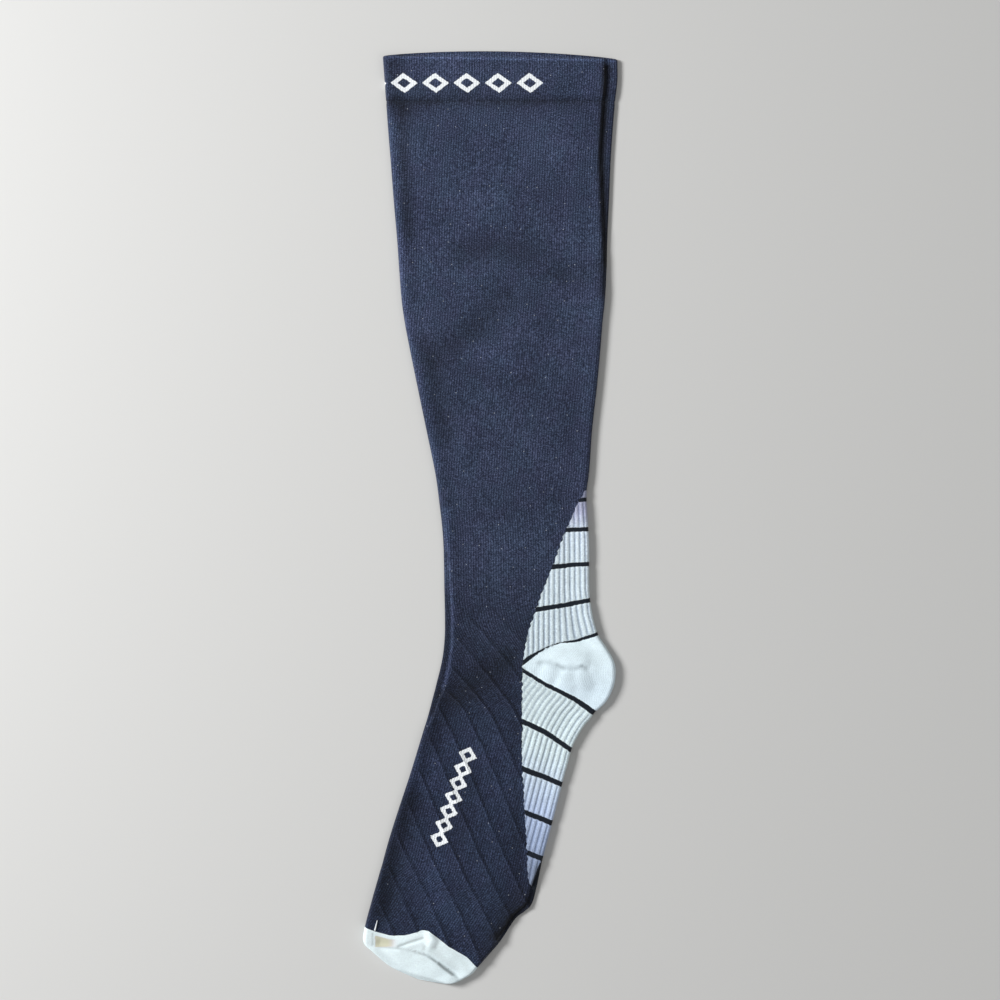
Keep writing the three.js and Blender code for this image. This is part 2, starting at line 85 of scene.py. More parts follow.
STITCH_PITCH = 1.4
STITCH_DEPTH = 0.4

# Rows across the flat tube, from the mouth to the toe: where each meets the front fold and the back fold
ROWS = [
    # name, front x, front y, back x, back y
    ("mouth", -61.9, 267.4, 74.3, 265.4),
    ("", -60.9, 254.0, 74.3, 254.0),
    ("welt seam", -60.0, 241.6, 72.9, 241.6),
    ("", -58.9, 226.0, 71.6, 226.0),
    ("upper leg", -57.4, 207.6, 70.4, 207.6),
    ("", -55.6, 184.0, 69.4, 184.0),
    ("mid leg", -53.6, 161.2, 68.4, 161.2),
    ("", -52.4, 143.8, 68.0, 143.8),
    ("calf", -51.0, 126.4, 67.0, 126.4),
    ("", -49.1, 113.0, 65.6, 113.0),
    ("", -46.7, 100.3, 64.6, 100.3),
    ("", -42.0, 77.1, 62.5, 77.1),
    ("", -36.6, 51.0, 59.6, 51.0),
    ("", -31.6, 26.7, 57.9, 26.7),
    ("gusset tip", -29.3, 10.4, 56.3, 12.2),
    ("", -26.9, -12.8, 57.7, -12.8),
    ("ankle", -26.2, -41.8, 58.0, -41.8),
    ("", -25.9, -56.3, 59.7, -55.7),
    ("heel top", -25.9, -66.1, 62.9, -67.3),
    ("", -26.4, -74.2, 67.9, -75.4),
    ("", -27.2, -80.6, 71.9, -82.4),
    ("heel", -28.2, -85.8, 73.2, -89.3),
    ("", -29.3, -90.5, 72.0, -98.0),
    ("", -30.5, -95.1, 67.6, -106.7),
    ("heel bottom", -31.5, -99.2, 60.9, -113.1),
    ("under heel", -32.3, -102.1, 54.5, -121.2),
    ("sole bend", -33.2, -105.6, 48.4, -132.2),
    ("high arch", -35.8, -115.4, 45.2, -143.3),
    ("arch", -38.9, -125.3, 42.3, -153.7),
    ("mid foot", -45.6, -147.3, 36.5, -176.3),
    ("fore foot", -52.5, -168.2, 31.0, -197.2),
    ("sole tip", -57.7, -184.4, 27.7, -212.9),
    ("sole end", -60.8, -195.4, 24.6, -223.9),
    ("ball", -62.3, -201.0, 20.2, -228.6),
    ("", -64.1, -207.1, 14.7, -233.1),
    ("", -68.7, -223.3, 6.0, -246.0),
    ("toe line", -72.8, -239.5, -6.7, -260.4),
    ("", -72.8, -246.5, -9.6, -263.9),
    ("", -68.1, -251.1, -14.2, -266.8),
    ("toe curve", -58.3, -259.3, -20.6, -269.7),
    ("toe end", -43.2, -267.4, -28.1, -270.3),
]

# Rows of the ribs under the arch: the first point gives the row's direction, the second is on the fold
SOLE_ROWS = [
    # name, toward x, toward y, back x, back y
    ("heel", -15.6, -45.5, 71.0, -95.5),
    ("heel bottom", -24.8, -61.6, 60.9, -113.1),
    ("under heel", -32.1, -71.2, 54.5, -121.2),
    ("sole bend", -39.9, -85.2, 48.4, -132.2),
    ("high arch", -46.8, -104.3, 45.2, -143.3),
    ("arch", -52.0, -120.3, 42.3, -153.7),
    ("mid foot", -57.8, -143.0, 36.5, -176.3),
    ("fore foot", -64.1, -163.0, 31.0, -197.2),
    ("sole tip", -69.0, -179.0, 27.7, -212.9),
    ("sole end", -72.0, -186.5, 24.6, -223.9),
    ("ball", -76.0, -192.0, 20.2, -228.6),
    ("toe line", -90.0, -208.0, -6.7, -260.4),
]

# Width of the low strip where the lower panel shows beside the upper one, at the back and the front fold
STRIPS = [
    # row name, width at the back, width at the front
    ("mouth", 7.6, 0),
    ("welt seam", 6.9, 0),
    ("upper leg", 6.4, 0),
    ("mid leg", 2.6, 0),
    ("calf", 0, 0),
    ("gusset tip", 0, 0),
    ("ankle", 0, 3.9),
    ("heel top", 0, 4.3),
    ("heel bottom", 0, 4.8),
    ("high arch", 0, 2.8),
    ("arch", 0, 0),
    ("fore foot", 0, 0),
    ("sole tip", 3.4, 0),
    ("ball", 3.8, 0),
    ("toe line", 0, 0),
]

# Height of the flattened cloth, away from its folds
HEIGHTS = [
    # row name, height
    ("mouth", 4.2),
    ("welt seam", 4.0),
    ("calf", 3.6),
    ("ankle", 3.5),
    ("heel top", 3.8),
    ("heel bottom", 3.8),
    ("arch", 3.6),
    ("sole tip", 3.6),
    ("toe line", 4.4),
    ("toe curve", 4.0),
    ("toe end", 3.0),
]

# Broad soft swells of the cloth
SWELLS = [
    # x, y, half width, half length, rise
    (50, -88, 17, 13, 2.3),
    (-42, -249, 24, 8, 0.8),
    (-11, 87, 16, 12, 0.5),
    (-34, 213, 14, 16, 0.4),
    (30, 108, 20, 12, 0.35),
    (-20, -208, 13, 20, 0.5),
]

# Creases and raised folds along short paths, on the upper panel
HEEL_CREASE = [(31, -83.8), (35.7, -84), (41.8, -86.6), (49.6, -87.6), (54.2, -86), (57, -87)]
FOLDS = [
    # name, width, rise, path
    ("seam dip", 2.0, -0.30, [(-62, 241.6), (76, 241.6)]),
    ("front valley", 4.0, -0.6, [(-54, 234), (-53, 190)]),
    ("calf dip", 7.0, -0.6, [(-18, 152), (0, 157), (21, 154)]),
    ("calf slant", 7.0, -0.6, [(11, 129), (-5, 112), (-20, 97)]),
    ("back dip", 5.0, -0.5, [(48, 143), (62, 146)]),
    ("shin valley", 5.0, -0.6, [(-30, 94), (-28, 68), (-21, 45)]),
    ("instep crease", 6.0, -0.8, [(-18, -99), (-3, -88), (13, -83)]),
    ("toe valley", 5.0, -0.6, [(-54, -205), (-59, -230)]),
    ("heel crease", 2.0, -0.45, HEEL_CREASE),
    ("heel trough", 3.0, -0.55, [(39.5, -88), (37, -96)]),
    ("heel ray", 3.2, -0.35, [(49, -89), (50, -100)]),
    ("heel side ray", 3.0, -0.30, [(57, -88), (61, -97)]),
    ("heel front ray", 2.4, -0.25, [(30, -85.5), (28, -91)]),
    ("toe pucker", 2.3, 0.8, [(-34.6, -240.8), (-33.4, -244.0), (-34.6, -247.2)]),
    ("toe small fold", 1.0, -0.55, [(-53, -248.0), (-46, -245.4), (-38.5, -243.0)]),
    ("toe small lip", 2.0, 0.35, [(-51, -249.4), (-45, -247.6), (-39.5, -245.4)]),
    ("toe hollow", 2.4, -0.8, [(-63, -245.8), (-56, -246.2)]),
]

# Lines along which the cloth steps up on the left of the path, then settles back over the reach
HEEL_LIP = [
    # x, y, rise
    (27, -83.2, 0), (35.7, -83, 0.35), (41.8, -85.6, 0.6),
    (49.6, -86.8, 0.35), (54.2, -85, 0.6), (58, -86.4, 0),
]
TOE_FLAP = [
    # x, y, rise
    (-17, -267.5, 0), (-20.6, -264.3, 1.3), (-28.1, -258.7, 1.5), (-34, -254.3, 1.2),
    (-42, -250.6, 0.7), (-53, -248.8, 0.6), (-66, -247.9, 0.5), (-70, -247.2, 0),
]
STEPS = [
    # name, half width of the step, reach, path: x, y, rise
    ("heel lip", 1.5, 7, HEEL_LIP),
    ("toe flap", 0.5, 12, TOE_FLAP),
]

# Painted light and shade: places where the cloth is painted lighter or darker than the rest of its zone, as
# painted highlights on lit fold edges and rims and painted shadow in creases, gaps and folds
FRONT_EDGE = [(-57, 238), (-54, 196), (-51, 155), (-49, 126), (-44, 98), (-36, 64), (-30, 30)]
SHIN_EDGE = [(-25, 5), (-24, -15), (-24, -35), (-21.8, -50), (-21.6, -68), (-23, -84), (-26.6, -98)]
INSTEP_STRIP = [(-25.2, -20), (-24, -36), (-23.8, -66), (-25.5, -84), (-29.5, -100), (-33.4, -113)]
PAINTED_SHADING = [
    # name, width, change, path
    ("back strip", 3.2, -0.62, [(68, 260), (67, 238), (65.6, 212), (66, 190), (67, 170), (66, 130)]),
    ("back gap", 1.5, -0.80, [(67.3, 261), (66.2, 240), (64.3, 212), (66.2, 172), (67.4, 148)]),
    ("front rim", 0.7, 1.1, [(-60, 266.6), (72, 264.8)]),
    ("mouth inside", 1.6, -0.60, [(-52, 268.4), (5, 269.6), (64, 267.6)]),
    ("seam line", 1.7, -0.24, [(-60, 241.4), (65, 241.4)]),
    ("seam front", 2.6, -0.28, [(-57, 240), (-30, 240.8)]),
    ("seam middle", 2.2, -0.18, [(-4, 240.6), (30, 240.8)]),
    ("seam shade", 5.0, -0.20, [(-60, 240), (50, 240)]),
    ("seam light", 1.2, 0.16, [(30, 245.6), (60, 246.2)]),
    ("cuff front", 5.5, -0.32, [(-55, 262), (-54, 246)]),
    ("cuff middle", 5.0, -0.16, [(-40, 247), (30, 246)]),
    ("cuff back", 7.0, 0.14, [(57, 260), (56, 248)]),
    ("front dip", 6.0, -0.26, [(-56, 237), (-46, 234)]),
    ("front valley", 4.0, -0.42, [(-50.5, 236), (-49.5, 200), (-47, 165)]),
    ("front edge", 2.4, 0.38, FRONT_EDGE),
    ("calf dip", 9.0, -0.30, [(-16, 154), (0, 157), (20, 155)]),
    ("calf slant", 8.0, -0.28, [(9, 127), (-10, 108), (-32, 92)]),
    ("shin patch", 7.0, -0.26, [(-37, 100), (-29, 72), (-25, 50)]),
    ("calf light", 6.0, 0.24, [(-7, 97), (9, 91)]),
    ("calf spot", 4.0, -0.22, [(20, 81), (26, 79)]),
    ("calf back", 14.0, -0.10, [(30, 190), (34, 130)]),
    ("back crease", 5.0, -0.26, [(40, 141), (52, 139), (64, 146)]),
    ("shin edge", 1.9, 0.85, SHIN_EDGE),
    ("instep strip", 1.8, -0.40, INSTEP_STRIP),
    ("ankle crease", 9.0, -0.46, [(-17, -102), (-2, -92), (10, -83)]),
    ("instep", 7.0, -0.28, [(-26, -108), (-35, -130)]),
    ("beside motif", 8.0, -0.20, [(-12, -150), (-20, -190)]),
    ("beside sole", 4.0, -0.22, [(14, -120), (15, -170), (17, -205)]),
    ("fore foot", 8.0, -0.46, [(-47, -165), (-55, -190), (-62, -226)]),
    ("foot light", 6.0, 0.24, [(-27, -190), (-33, -215), (-22, -234)]),
    ("sole tip", 6.0, -0.45, [(19, -216), (11, -230), (-3, -252)]),
    ("sole strip", 2.6, -0.75, [(29, -204), (24.5, -221), (14, -231), (4, -243)]),
    ("heel crease", 1.4, -0.15, [(28, -84), (35.7, -84), (41.8, -86.6), (49.6, -87.7), (57, -87.2)]),
    ("heel dark spot", 1.2, -0.24, [(39.2, -84.8), (42.8, -87.2)]),
    ("heel back spot", 1.0, -0.24, [(53, -85.6), (55.4, -86.6)]),
    ("heel trough", 2.2, -0.14, [(39.5, -88), (37, -94)]),
    ("heel side", 6.0, -0.07, [(48, -95), (60, -96)]),
    ("heel top", 4.0, -0.05, [(44, -78), (56, -80)]),
    ("toe fold", 0.8, -0.58, [(-29.5, -257.6), (-25.4, -261.2), (-21.4, -264.1)]),
    ("toe fold middle", 0.6, -0.36, [(-43, -250.9), (-36.2, -252.8), (-31, -256.6)]),
    ("toe fold glow", 2.6, -0.13, [(-33, -251.4), (-27, -256), (-19.5, -261.5)]),
    ("toe fold front", 0.6, -0.36, [(-64, -248.1), (-56, -248.6), (-49, -249.2), (-43, -250.6)]),
    ("toe small fold", 0.7, -0.44, [(-53, -248.0), (-46, -245.4), (-38.5, -243.0)]),
    ("toe pucker", 1.2, -0.34, [(-31.6, -241.8), (-30.0, -244.6), (-31.6, -248.2)]),
    ("toe pucker spot", 0.9, -0.26, [(-37.6, -247.4), (-38.2, -249.4)]),
    ("thread shade", 0.5, -0.30, [(-67.8, -247), (-67.7, -240.5)]),
    ("toe hollow", 2.2, -0.16, [(-63, -245.6), (-56, -246)]),
    ("toe back", 2.4, -0.10, [(-15, -258), (-11, -264)]),
]

# Painted shade of the dark cloth along the leg, by height on the cloth: lighter at the upper leg, darker
# towards the foot
DARK_PAINTED_SHADING = [
    # y, painted shade
    (270, 1.0),
    (165, 1.02),
    (100, 0.92),
    (-30, 0.85),
    (-65, 0.60),
    (-110, 0.57),
    (-150, 0.63),
    (-270, 0.58),
]

# Creases of the lower panel, which show only from below
UNDER_FOLDS = [
    # name, width, depth, path
    ("under calf", 7.0, 0.3, [(-30, 150), (5, 140), (40, 150)]),
    ("under ankle", 5.0, 0.3, [(-14, -76), (8, -84), (14, -98)]),
    ("under heel", 2.0, 0.35, [(30, -86), (42, -89), (56, -86)]),
    ("under toe", 2.0, 0.35, [(-62, -250), (-45, -252), (-30, -261)]),
]

# Edges of the pale zones and the toe, the same on both panels
GUSSET_EDGE = [
    # x, y, from the tip behind the ankle to the tip under the foot
    (58.3, 19.8), (51.3, 9.3), (46.9, -1.7), (43.6, -8.5), (38, -24.1), (30.2, -44.1),
    (22.4, -66.1), (19.1, -85.5), (19.1, -86.1), (19, -105.6), (19, -146.2), (20.9, -174.6),
    (22, -200.1), (22.6, -210), (26.5, -217.8),
]
HEEL_TOP_EDGE = [(19.1, -85.5), (29.3, -77.7), (39.1, -72.8), (51.3, -70.8), (62.9, -67.6), (110, -55)]
HEEL_BOTTOM_EDGE = [(19.1, -86.1), (29.9, -94.5), (45.5, -102.7), (53.6, -107.3), (62.3, -112.8), (110, -140)]
TOE_EDGE = [
    # x, y
    (-110, -228), (-71.6, -237.2), (-65, -239.8), (-58.1, -241.6), (-48, -241.6), (-39.1, -238.6),
    (-35.7, -238.6), (-23.1, -248.2), (-13, -254.3), (-6.7, -260.7), (20, -290),
]

# Dark bands knitted across the pale ribs: points of the middle line with the half width at each
BANDS = [
    # x, y, half width
    [(50, 10.2, 1.2), (60, 11.1, 1.2)],
    [(43, -7.1, 1.25), (60, -6.3, 1.25)],
    [(35, -28.5, 1.4), (40.9, -28, 1.4), (49.6, -27, 1.25), (61, -26.6, 1.25)],
    [(27, -53.2, 1.4), (32.2, -52.3, 1.4), (43.8, -50.5, 1.35), (55.4, -48.1, 1.3), (62, -47, 1.3)],
    [
        (18.5, -84.6, 1.3), (23.5, -80.7, 1.15), (29.3, -77, 0.6), (35.1, -74.1, 0.4),
        (40.9, -72.2, 0.4), (49.6, -71.3, 0.7), (58.3, -68.6, 1), (70, -64.4, 1),
    ],
    [
        (18.5, -87.8, 1.1), (23.5, -90.9, 1.1), (32.2, -96.3, 1.15), (40.9, -100.5, 1.2),
        (49.6, -105.1, 1.4), (58.3, -111.1, 1.6), (68, -118, 1.6),
    ],
    [(17.5, -117.4, 1.5), (23.5, -119.8, 1.5), (32.2, -124, 1.5), (40.9, -129.9, 1.4), (52, -137.6, 1.4)],
    [(17.5, -144.6, 1.6), (23.5, -147, 1.6), (32.2, -150.2, 1.55), (39.7, -153.4, 1.5), (48, -157, 1.5)],
    [(18.5, -169.6, 1.45), (23.5, -171.7, 1.45), (32.2, -175, 1.5), (42, -179.2, 1.5)],
    [(19.5, -193.1, 1.5), (23.5, -194.6, 1.5), (28.1, -196.3, 1.45), (36, -199.4, 1.45)],
    [(32.5, -197, 1), (30.5, -202, 2.2), (28, -211, 2.8), (26, -219, 3)],
]

# Rows of plain diamonds knitted into the welt and along the foot
DIAMOND_COUNT = 7
DIAMOND_ROWS = {
    # place: first, pitch, half length, half height, depth from the edge to the middle, stroke
    "welt": (-23.9, 18.2, 7.8, 5.8, 4.64, 2.3),
    "foot": (4.2804, 8.5608, 4.9, 5.6, 3.675, 2.0),
}
WELT_DIAMOND_Y = 251.7
FOOT_DIAMOND_START = (-30.4, -190.2)
FOOT_DIAMOND_END = (-11.3, -133.4)


def smooth(share):
    return share * share * (3 - 2 * share)


def smooth_step(value, start, end):
    return smooth(np.clip((value - start) / (end - start), 0, 1))


def bell(share):
    return np.exp(-share * share)


def between(start, end, share):
    return start + (end - start) * share


class Fan:
    """Rows across the cloth, found at any station on smooth curves through a table's rows."""

    def __init__(self, table, marks):
        self.front = np.array([row[1:3] for row in table], float)
        self.back = np.array([row[3:5] for row in table], float)
        self.marks = np.array(marks, float)

    def curve(self, points, place):
        last = len(points) - 1
        index = np.clip(np.floor(place).astype(int), 0, last - 1)
        share = (place - index)[..., None]
        before = points[np.maximum(index - 1, 0)]
        start = points[index]
        end = points[index + 1]
        after = points[np.minimum(index + 2, last)]
        leave = (end - before) / 2
        arrive = (after - start) / 2
        cubic = (2 * start - 2 * end + leave + arrive) * share**3
        square = (-3 * start + 3 * end - 2 * leave - arrive) * share**2
        return cubic + square + leave * share + start

    def row(self, station):
        """The front point, the back point and the width at each station."""
        place = np.interp(station, self.marks, np.arange(len(self.marks)))
        front = self.curve(self.front, place)
        back = self.curve(self.back, place)
        return front, back, np.linalg.norm(front - back, axis=-1)

    def half_round(self, station):
        """The way round half the tube, from the outermost point of one fold to that of the other."""
        return self.row(station)[2] - 2 * FOLD_RADIUS + 2 * FOLD_ARC


def middle_stations(table):
    middles = [np.array([(row[1] + row[3]) / 2, (row[2] + row[4]) / 2]) for row in table]
    stations = [0.0]
    for before, here in zip(middles, middles[1:]):
        stations.append(stations[-1] + float(np.linalg.norm(here - before)))
    return stations


ROW_STATIONS = middle_stations(ROWS)
STATION = {row[0]: station for row, station in zip(ROWS, ROW_STATIONS) if row[0]}
tube = Fan(ROWS, ROW_STATIONS)
sole = Fan(SOLE_ROWS, [STATION[row[0]] for row in SOLE_ROWS])

HEIGHT_MARKS = np.array([STATION[name] for name, _ in HEIGHTS])
HEIGHT_VALUES = np.array([height for _, height in HEIGHTS])

def base_height(station):
    place = np.interp(station, HEIGHT_MARKS, np.arange(len(HEIGHT_MARKS)))
    index = np.minimum(np.floor(place).astype(int), len(HEIGHT_MARKS) - 2)
    return between(HEIGHT_VALUES[index], HEIGHT_VALUES[index + 1], smooth(place - index))


STRIP_MARKS = np.array([STATION[row[0]] for row in STRIPS])
STRIP_WIDTHS = np.array([row[1:] for row in STRIPS], float)


def strip_widths(station):
    """Widths of the low strips at a station, at the back and at the front fold."""
    back = np.interp(station, STRIP_MARKS, STRIP_WIDTHS[:, 0])
    return back, np.interp(station, STRIP_MARKS, STRIP_WIDTHS[:, 1])


def with_strips(height, low, spot):
    """Lowers a height to that of the strip next to either fold."""
    back_width, front_width = strip_widths(spot["station"])
    held = np.maximum(0, 1 - np.maximum(back_width, front_width) / FOLD_RADIUS)
    inward = np.minimum(spot["across"] - back_width, spot["width"] - spot["across"] - front_width)
    share = np.maximum(smooth(np.clip(inward / STRIP_STEP + 0.5, 0, 1)), held)
    return np.minimum(height, low) + np.maximum(height - low, 0) * share

def from_segment(x, y, start, end):
    """The share of a segment that is nearest to each point, the distance, and the side, left positive."""
    along_x = end[0] - start[0]
    along_y = end[1] - start[1]
    share = ((x - start[0]) * along_x + (y - start[1]) * along_y) / (along_x**2 + along_y**2)
    share = np.clip(share, 0, 1)
    off_x = x - start[0] - share * along_x
    off_y = y - start[1] - share * along_y
    return share, np.hypot(off_x, off_y), np.sign(along_x * off_y - along_y * off_x)


def distance_to_path(x, y, path):
    """Distance from each point to a path whose points may carry a half width, which is taken off."""
    least = np.full(np.shape(x), FAR)
    for start, end in zip(path, path[1:]):
        share, distance, _ = from_segment(x, y, start, end)
        if len(start) > 2:
            distance = distance - between(start[2], end[2], share)
        least = np.minimum(least, distance)
    return least


def beside_path(x, y, path):
    """Distance from a path, positive on its left, and the third value of the path where it is nearest."""
    least = np.full(np.shape(x), FAR)
    side = np.zeros(np.shape(x))
    value = np.zeros(np.shape(x))
    for start, end in zip(path, path[1:]):
        share, distance, new_side = from_segment(x, y, start, end)
        nearer = distance < least
        least = np.where(nearer, distance, least)
        side = np.where(nearer, new_side, side)
        value = np.where(nearer, between(start[2], end[2], share), value)
    return least * side, value


def ripple(x, y):
    """Slow uneven waves that keep the flat cloth from looking ruled."""
    broad = 0.30 * np.sin(x / 19.0 + 1.3 * np.sin(y / 41.0)) * np.sin(y / 29.0 + 0.8)
    slow = 0.14 * np.sin(x / 9.0 + 1.1 * np.sin(y / 23.0)) * np.sin(y / 13.0 + x / 27.0)
    return broad + slow + 0.05 * np.sin(x / 4.3 + y / 17.0) * np.sin(y / 7.1 - x / 31.0)


def cloth_height(spot):
    from_fold = np.maximum(np.minimum(spot["across"], spot["width"] - spot["across"]), FOLD_RADIUS)
    height = base_height(spot["station"]) + FOLD_RISE * bell(from_fold / FOLD_SPREAD)
    height = height - VALLEY_DEPTH * bell((from_fold - VALLEY_PLACE) / VALLEY_SPREAD)
    x, y = spot["x"], spot["y"]
    for middle_x, middle_y, half_width, half_length, rise in SWELLS:
        height = height + rise * bell((x - middle_x) / half_width) * bell((y - middle_y) / half_length)
    for _, width, rise, path in FOLDS:
        height = height + rise * bell(distance_to_path(x, y, path) / width)
    for _, half_step, reach, path in STEPS:
        away, rise = beside_path(x, y, path)
        high = smooth_step(away, -half_step, half_step) * np.exp(-np.maximum(away, 0) / reach)
        height = height + rise * (high - STEP_DIP * bell(away / STEP_DIP_PLACE + 1))
    height = height + ripple(x, y) * smooth_step(from_fold, 2, 10)
    return with_strips(height, STRIP_HEIGHT, spot)


def welt_height(spot):
    from_fold = np.maximum(np.minimum(spot["across"], spot["width"] - spot["across"]), FOLD_RADIUS)
    height = WELT_HEIGHT + WELT_FOLD_RISE * bell(from_fold / FOLD_SPREAD)
    height = height - WELT_VALLEY_DEPTH * bell((from_fold - VALLEY_PLACE) / VALLEY_SPREAD)
    height = with_strips(height + 0.6 * ripple(spot["x"], spot["y"]), WELT_STRIP_HEIGHT, spot)
    end = STATION["welt seam"]
    share = smooth_step(spot["station"], end - WELT_BLEND, end)
    return height + (cloth_height(spot) - height) * share


def bed_height(spot):
    """Height of the underside, whose raised parts touch the table."""
    x, y = spot["x"], spot["y"]
    height = np.full(np.shape(x), BED_RELIEF * 0.5)
    for _, width, depth, path in UNDER_FOLDS:
        height = height + depth * bell(distance_to_path(x, y, path) / width)
    return height


def no_relief(spot):
    return np.zeros(np.shape(spot["x"]))


def tube_points(fan, station, around, inset, top_height, relief):
    """Points of the flat tube. Around is the way from the outermost point of the back fold, positive
    over the upper panel and negative under the lower one, and inset is the depth below the surface."""
    front, back, width = fan.row(station)
    half = np.abs(around)
    half_length = fan.half_round(station)
    back_turn = np.clip(half / FOLD_ARC, 0, 1)
    front_turn = np.clip((half_length - half) / FOLD_ARC, 0, 1)
    back_way = FOLD_RADIUS * (1 - np.cos(back_turn * math.pi / 2)) + np.maximum(half - FOLD_ARC, 0)
    front_way = FOLD_RADIUS * (1 - np.cos(front_turn * math.pi / 2))
    in_front = half > half_length - FOLD_ARC
    across = np.where(in_front, width - front_way, back_way)
    lift = np.sin(np.minimum(back_turn, front_turn) * math.pi / 2)
    back_limit = inset + FOLD_RADIUS * (1 - np.cos(back_turn * math.pi / 2))
    front_limit = width - inset - front_way
    inside = np.where(inset > 0, np.clip(across, back_limit, np.maximum(front_limit, back_limit)), across)
    share = (inside / width)[..., None]
    flat = back + (front - back) * share
    spot = {"x": flat[..., 0], "y": flat[..., 1], "station": station, "across": across, "width": width}
    upper = around >= 0
    raised = relief(spot)
    top = top_height(spot) + raised - inset
    bed = np.maximum(bed_height(spot) - raised * 0.6, 0) + inset
    top = np.maximum(top, bed + np.where(inset > 0, LEAST_SLIT, 0))
    middle = (top + bed) / 2
    z = np.where(upper, middle + (top - middle) * lift, middle - (middle - bed) * lift)
    return np.stack([spot["x"], spot["y"], z], axis=-1), spot


def half_way(across):
    """The way round from the outermost point of the back fold to a place on the panel."""
    share = np.clip(1 - np.clip(across, 0, FOLD_RADIUS) / FOLD_RADIUS, 0, 1)
    arc = np.arccos(share) / (math.pi / 2) * FOLD_ARC
    return arc + np.maximum(across - FOLD_RADIUS, 0)


def edge_x(y, toothed=True):
    """The x of the gusset's front edge at a height y on the cloth, stepped as knitting steps it."""
    path = np.array(GUSSET_EDGE)[::-1]
    x = np.interp(y, path[:, 1], path[:, 0])
    x = np.where(y > GUSSET_EDGE[0][1], FAR, x)
    if not toothed:
        return x
    tooth = np.abs(((y / TOOTH_PITCH) % 1.0) - 0.5) * 2
    fine = np.abs(((y / STITCH_PITCH + 0.3) % 1.0) - 0.5) * 2
    return x + TOOTH_DEPTH * (tooth - 0.5) + STITCH_DEPTH * (fine - 0.5)


def edge_y(x, path):
    path = np.array(path)
    return np.interp(x, path[:, 0], path[:, 1])


def first_root(values, places):
    """The place along the first axis where the values first turn negative, or the last place."""
    negative = values < 0
    found = negative.any(axis=0)
    index = np.clip(np.argmax(negative, axis=0), 1, len(values) - 1)
    columns = np.arange(values.shape[1])
    before = values[index - 1, columns]
    after = values[index, columns]
    share = np.clip(before / np.where(before - after == 0, 1, before - after), 0, 1)
    low = np.take_along_axis(places, (index - 1)[None], 0)[0]
    high = np.take_along_axis(places, index[None], 0)[0]
    return np.where(found, low + (high - low) * share, places[-1])


def gusset_reach(fan, station, toothed=True):
    """How far the pale zone reaches from the back fold along each row."""
    station = np.asarray(station, float)
    front, back, width = fan.row(station)
    across = np.linspace(0, 75, 600)[:, None] * np.ones(len(station))
    spots = back + (front - back) * (across / width)[..., None]
    values = spots[..., 0] - edge_x(spots[..., 1], toothed)
    reach = first_root(values, across)
    return np.where(values[0] <= 0, 0.0, reach)

def stepped(start, end, spacing):
    """Stations from start to end, a whole number of coarse steps that are each cut in fine ones."""
    steps = max(1, round((end - start) / (spacing * GRID_STEP)))
    return np.linspace(start, end, steps * GRID_STEP + 1)


def rounding(distance, radius, wall):
    """How far the surface draws in towards the middle of the wall near a turned edge."""
    share = np.clip(1 - distance / radius, 0, 1)
    return wall / 2 * (1 - np.sqrt(np.maximum(1 - share * share, 0)))


def add_faces(faces, grid, flip):
    first = grid[:-1, :-1].ravel()
    second = grid[1:, :-1].ravel()
    third = grid[1:, 1:].ravel()
    fourth = grid[:-1, 1:].ravel()
    quads = np.stack([first, second, third, fourth], axis=1)
    faces.extend((quads[:, ::-1] if flip else quads).tolist())


def rim_faces(faces, outer_line, inner_line, keep):
    """Faces that close the wall between a fine outer edge and a coarse inner edge."""
    fine = (len(outer_line) - 1) // (len(inner_line) - 1)
    for step in range(len(inner_line) - 1):
        if keep[step]:
            outer_part = outer_line[step * fine : (step + 1) * fine + 1].tolist()
            faces.append([*outer_part, int(inner_line[step + 1]), int(inner_line[step])])

def add_object(name, data):
    item = bpy.data.objects.new(name, data)
    bpy.context.scene.collection.objects.link(item)
    return item

def shell_object(name, outer, inner, attributes, open_sides):
    """A closed shell between a fine outer grid and a coarse inner grid of points, in millimetres."""
    outer_count = outer.shape[0] * outer.shape[1]
    outer_grid = np.arange(outer_count).reshape(outer.shape[:2])
    inner_grid = outer_count + np.arange(inner.shape[0] * inner.shape[1]).reshape(inner.shape[:2])
    faces = []
    add_faces(faces, outer_grid, False)
    add_faces(faces, inner_grid, True)
    every_column = [True] * (inner.shape[1] - 1)
    rim_faces(faces, outer_grid[0], inner_grid[0], every_column)
    rim_faces(faces, outer_grid[-1], inner_grid[-1], every_column)
    rim_faces(faces, outer_grid[:, 0], inner_grid[:, 0], open_sides)
    rim_faces(faces, outer_grid[:, -1], inner_grid[:, -1], open_sides)
    points = np.concatenate([outer.reshape(-1, 3), inner.reshape(-1, 3)]) * MM
    mesh = bpy.data.meshes.new(name)
    mesh.from_pydata(points.tolist(), [], faces)
    row_step = (outer.shape[0] - 1) // (inner.shape[0] - 1)
    column_step = (outer.shape[1] - 1) // (inner.shape[1] - 1)
    for key, values in attributes.items():
        layer = mesh.attributes.new(key, "FLOAT", "POINT")
        inside = values[::row_step, ::column_step]
        layer.data.foreach_set("value", np.concatenate([values.ravel(), inside.ravel()]).astype(np.float32))
    shape = bmesh.new()
    shape.from_mesh(mesh)
    bmesh.ops.remove_doubles(shape, verts=shape.verts, dist=2e-6)
    bmesh.ops.recalc_face_normals(shape, faces=shape.faces)
    shape.to_mesh(mesh)
    shape.free()
    mesh.shade_smooth()
    mesh.set_sharp_from_angle(angle=math.radians(50))
    return add_object(name, mesh)


def wall_points(fan, station, around, drawn, wall, top_height, relief, row_step, column_step):
    """Points of a wall's fine outer grid and coarse inner grid, and where the outer ones lie."""
    outer, spot = tube_points(fan, station, around, drawn, top_height, relief)
    inner_station = station[::row_step, ::column_step]
    inner_around = around[::row_step, ::column_step]
    inner, _ = tube_points(fan, inner_station, inner_around, wall, top_height, no_relief)
    return outer, inner, spot


